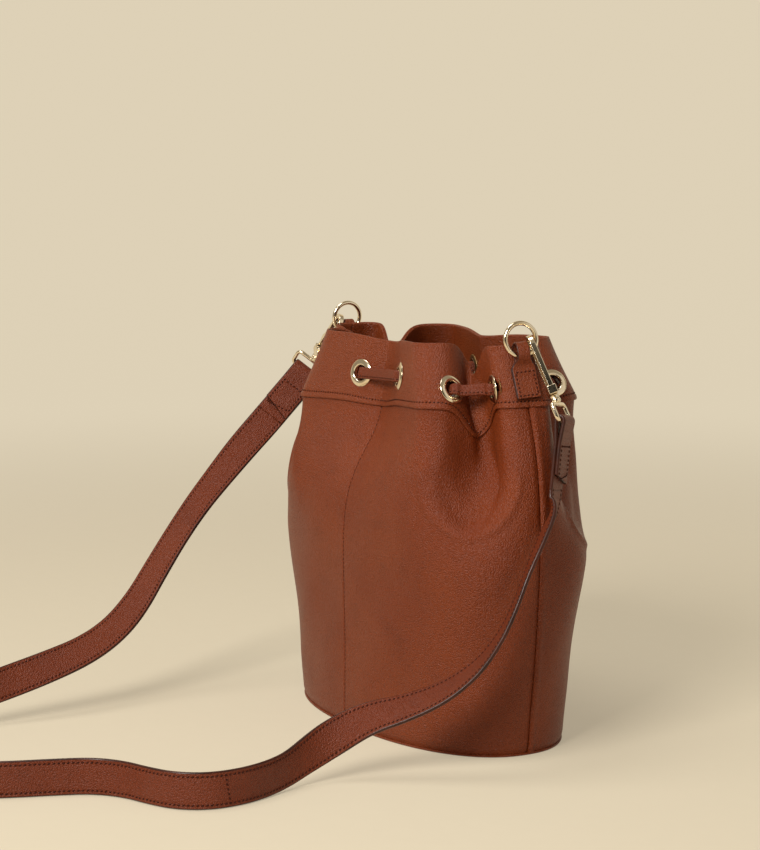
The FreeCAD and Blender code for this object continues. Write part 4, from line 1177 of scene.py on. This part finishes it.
# --- stitches
def stitch_tree():
    """Sews along lines: an oval stitch at each step, flat on the leather and slanted."""
    tree = bpy.data.node_groups.new("sewn_row", "GeometryNodeTree")
    face = tree.interface
    face.new_socket("Line", in_out="INPUT", socket_type="NodeSocketGeometry")
    for name in ("Pitch", "Length", "Thickness", "Slant"):
        face.new_socket(name, in_out="INPUT", socket_type="NodeSocketFloat")
    face.new_socket("Thread", in_out="INPUT", socket_type="NodeSocketMaterial")
    face.new_socket("Stitches", in_out="OUTPUT", socket_type="NodeSocketGeometry")

    def node(kind, links=(), **settings):
        """A node with its settings, and the values or links of its sockets."""
        item = tree.nodes.new(kind)
        for key, value in settings.items():
            setattr(item, key, value)
        for key, source in dict(links).items():
            if hasattr(source, "links"):
                tree.links.new(source, item.inputs[key])
            else:
                item.inputs[key].default_value = source
        return item

    given = node("NodeGroupInput").outputs
    curve = node("GeometryNodeMeshToCurve", {"Mesh": given["Line"]})
    steps = node("GeometryNodeResampleCurve", {"Curve": curve.outputs[0],
                                               "Length": given["Pitch"]}, mode="LENGTH")
    out = node("GeometryNodeInputNamedAttribute", {"Name": "out"}, data_type="FLOAT_VECTOR")
    along = node("GeometryNodeInputTangent")
    facing = node("FunctionNodeAxesToRotation", {
        "Primary Axis": out.outputs["Attribute"], "Secondary Axis": along.outputs[0]},
        primary_axis="Z", secondary_axis="X")
    slanted = node("FunctionNodeAxisAngleToRotation", {"Axis": (0, 0, 1), "Angle": given["Slant"]})
    turned = node("FunctionNodeRotateRotation", {
        "Rotation": facing.outputs[0], "Rotate By": slanted.outputs[0]}, rotation_space="LOCAL")
    bead = node("GeometryNodeMeshUVSphere", {"Segments": 6, "Rings": 5, "Radius": 0.5})
    size = node("ShaderNodeCombineXYZ", {"X": given["Length"], "Y": given["Thickness"],
                                         "Z": given["Thickness"]})
    stitch = node("GeometryNodeTransform", {"Geometry": bead.outputs["Mesh"],
                                            "Scale": size.outputs[0]})
    sewn = node("GeometryNodeInstanceOnPoints", {
        "Points": steps.outputs[0], "Instance": stitch.outputs[0],
        "Rotation": turned.outputs[0]})
    real = node("GeometryNodeRealizeInstances", {"Geometry": sewn.outputs[0]})
    soft = node("GeometryNodeSetShadeSmooth", {"Geometry": real.outputs[0]})
    threaded = node("GeometryNodeSetMaterial", {
        "Geometry": soft.outputs[0], "Material": given["Thread"]})
    node("NodeGroupOutput", {"Stitches": threaded.outputs[0]})
    return tree


SEWING = stitch_tree()


def sewn(name, rows, pitch, length, thick, slant):
    """Stitches along rows of (points, ways out), in millimetres and degrees."""
    points, outs, edges = [], [], []
    for line, ways in rows:
        n = len(points)
        line, ways = np.asarray(line, float), np.asarray(ways, float)
        if ways.ndim == 1:
            ways = np.tile(ways, (len(line), 1))
        points += line.tolist()
        outs += ways.tolist()
        edges += [(n + i, n + i + 1) for i in range(len(line) - 1)]
    mesh = bpy.data.meshes.new(name + "_line")
    mesh.from_pydata((np.array(points) * MM).tolist(), edges, [])
    mesh.attributes.new("out", "FLOAT_VECTOR", "POINT").data.foreach_set(
        "vector", np.array(outs).ravel())
    line = placed(name + "_line", mesh)
    row = line.modifiers.new("sewn", "NODES")
    row.node_group = SEWING
    values = {"Pitch": pitch * MM, "Length": length * MM, "Thickness": thick * MM,
              "Slant": math.radians(slant), "Thread": THREAD}
    for item in SEWING.interface.items_tree:
        if item.in_out == "INPUT" and item.name in values:
            row[item.identifier] = values[item.name]
    bpy.context.view_layer.update()
    ready = line.evaluated_get(bpy.context.evaluated_depsgraph_get())
    done = placed(name, bpy.data.meshes.new_from_object(ready))
    bpy.data.objects.remove(line)
    if not len(done.data.polygons):
        raise RuntimeError(name + " has no stitches")
    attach(done, "bag")
    return done


def round_collar(first, last):
    """A row round the collar's foot."""
    turns = np.linspace(first, last, 400)
    ways = outward(turns, SEAM_STITCHES)
    lift = collar_relief(turns, SEAM_STITCHES)[:, None] + (COLLAR_OUT + 0.05)
    return smooth_leather(turns, SEAM_STITCHES) + ways * lift, ways


def up_panel(turn):
    """A row up the middle of a panel."""
    line, ways = [], []
    for rise in np.linspace(5, 229, 90):
        way = outward(turn, rise)[0]
        line.append(smooth_leather(turn, rise)[0]
                    + way * (panel_relief(np.array([turn]), rise)[0] + 0.1))
        ways.append(way)
    return line, ways


def on_place(place, corners, x, way):
    """A row in a place's Y and Z at one X."""
    return [place((x, y, z)) for y, z in run(*corners)], place.way((way, 0, 0))


# Each has a pitch, length and thickness in millimetres, then a slant in degrees.
COLLAR_SEWING, PANEL_SEWING = (2.7, 1.9, 1.1, 18), (3.0, 2.1, 0.65, 0)
STRAP_SEWING, FOLD_SEWING = (3.0, 2.2, 1.15, 26), (3.0, 2.2, 1.1, 26)
STRING_SEWING, TAB_SEWING = (2.7, 1.9, 0.9, 10), (2.8, 2.0, 1.05, 14)
STRING_EDGE, STRING_FACE, TAB_EDGE = 2.3, 1.25, 6.4
sewn("collar_seam_stitches", [round_collar(*FRONT), round_collar(*BACK)], *COLLAR_SEWING)
sewn("front_seam_stitches", [up_panel(0), up_panel(2)], *PANEL_SEWING)
JOINT_RUN, JOINT_LEAN = 328, 1.5  # how far along the strap its joint is, and how far it slants
EDGE_IN, FACE = STRAP_WIDTH / 2 - STRAP_SEAM, STRAP_THICK / 2 * (1 - SEWN_DEEP) + 0.05
middles, across, face = strap_frames
strap_runs = np.concatenate([[0], np.cumsum(np.linalg.norm(np.diff(middles, axis=0), axis=1))])


def joint_rows():
    """Rows from edge to edge of the strap at its joint, on its two faces."""
    rows = []
    for up in (-1, 1):
        line, ways = [], []
        for side in np.linspace(-1, 1, 9):
            at = [np.array([np.interp(JOINT_RUN + JOINT_LEAN * side, strap_runs, column[:, k])
                            for k in range(3)]) for column in (middles, across, face)]
            line.append(at[0] + at[1] * side * EDGE_IN + at[2] * (FACE + 0.12) * up)
            ways.append(at[2] * up)
        rows.append((line, ways))
    return rows


strap_stitches = sewn("strap_stitches", [
    (middles + across * side * EDGE_IN + face * FACE * up, face * up)
    for side in (-1, 1) for up in (-1, 1)]
    + joint_rows(), *STRAP_SEWING)
drawstring_rows = []
for up in (-1, 1):
    row = string_line - string_up * STRING_EDGE + string_face * STRING_FACE * up
    drawstring_rows.append((np.vstack([row, row[:1]]),
                            np.vstack([string_face, string_face[:1]]) * up))
sewn("drawstring_stitches", drawstring_rows, *STRING_SEWING)
tab_rows, fold_rows = [], []
for end, at in PLACES.items():
    x, low = TAB_LEATHER * 2 + 0.02, at["tab_low"] - 8.5
    tab_rows.append(on_place(at["tab"], [*box(-TAB_EDGE, TAB_EDGE, 2, low), (-TAB_EDGE, 2)],
                             x, 1))
    outer, foot = STRAP_THICK + FOLD_GAP / 2, TAPER + 2
    fold_rows.append(on_place(at["fold"], [
        (-EDGE_IN, foot), (-EDGE_IN, FLAP - 6), (EDGE_IN, FLAP - 2.6), (EDGE_IN, foot),
        (-EDGE_IN, foot)], outer, 1))
    fold_rows += [on_place(at["fold"], [(y, foot), (y, ROOT)], -outer, -1)
                  for y in (-EDGE_IN, EDGE_IN)]
sewn("tab_stitches", tab_rows, *TAB_SEWING)
sewn("fold_stitches", fold_rows, *FOLD_SEWING)


# --- floor, backdrop and light
def room():
    """A pale floor that runs up into a pale wall in one sweep, with soft light."""
    finish = Finish("paper")
    grain = finish.noise(60, 3)
    tone = finish.mix(grain, srgb(216, 204, 180), srgb(213, 201, 177))
    finish.set(Base_Color=tone, Roughness=0.95, Specular_IOR_Level=0.1)
    rays = [finish.add("ShaderNodeLightPath", {}, {}, name)
            for name in ("Is Camera Ray", "Is Glossy Ray", "Is Transmission Ray")]
    even = finish.add("ShaderNodeEmission", {}, {"Color": srgb(226, 213, 187), "Strength": 1.0})
    lit = Value(finish, finish.shader.outputs[0])
    away = finish.add("ShaderNodeVectorMath", {"operation": "LENGTH"}, [finish.place], 1)
    share = (rays[0].math("MAXIMUM", rays[1]).math("MAXIMUM", rays[2])
             * (away.between(0.4, 2.0) * 0.5 + 0.42))
    shown = finish.add("ShaderNodeMixShader", {}, {0: share, 1: lit, 2: even})
    finish.tree.links.new(shown.socket, finish.tree.nodes["Material Output"].inputs["Surface"])
    bend_at, bend = 2.2, 0.9
    profile = [(-3.0, 0.0), (bend_at, 0.0)]
    profile += [(bend_at + bend * math.sin(a), bend - bend * math.cos(a))
                for a in np.linspace(0.1, math.pi / 2, 12)]
    profile += [(bend_at + bend, 3.5)]
    turn = Matrix.Rotation(math.radians(ROOM_YAW), 4, "Z")
    points = [turn @ Vector((x, y, z)) for y, z in profile for x in (-4.5, 4.5)]
    faces = [(2 * i, 2 * i + 1, 2 * i + 3, 2 * i + 2) for i in range(len(profile) - 1)]
    paper = piece("paper_sweep", [p[:] for p in points], faces, [finish.material], scale=1.0)
    paper.location = (0, 0, -0.0002)

    def lamp(name, place, size, power, colour):
        """A square lamp, in the room's frame, aimed at the bag."""
        data = bpy.data.lights.new(name, "AREA")
        data.shape, data.size, data.energy, data.color = "SQUARE", size, power, colour
        item = placed(name, data)
        item.location = turn @ Vector(place)
        item.rotation_mode = "QUATERNION"
        target = turn @ Vector((0, 0, 0.12))
        item.rotation_quaternion = (target - item.location).to_track_quat("-Z", "Y")

    lamp("window", (-1.05, -1.75, 1.45), 0.8, 54, (1.0, 0.97, 0.92))
    lamp("ceiling", (-0.5, -0.1, 1.7), 0.7, 9, (1.0, 0.98, 0.95))
    lamp("bounce", (1.7, -0.6, 0.8), 1.8, 4, (1.0, 0.95, 0.88))
    # A dark card seen only in reflections: a painted dark reflection of the unlit room on the
    # camera's side, which casts no shadow and lights nothing
    dark = Finish("dark_card").set(Base_Color=srgb(20, 18, 16), Roughness=0.9)
    corners = [turn @ Vector((x, -2.6, z))
               for x, z in ((-1.6, 0.1), (1.6, 0.1), (1.6, 2.0), (-1.6, 2.0))]
    card = piece("dark_card", [c[:] for c in corners], [(0, 1, 2, 3)], [dark], scale=1.0)
    card.visible_camera = card.visible_diffuse = card.visible_shadow = False
    world = bpy.data.worlds.new("room")
    world.use_nodes = True
    sky = world.node_tree.nodes["Background"].inputs
    sky["Color"].default_value, sky["Strength"].default_value = srgb(226, 214, 190), 0.4
    bpy.context.scene.world = world
    bpy.context.scene.view_settings.view_transform = "Standard"


room()
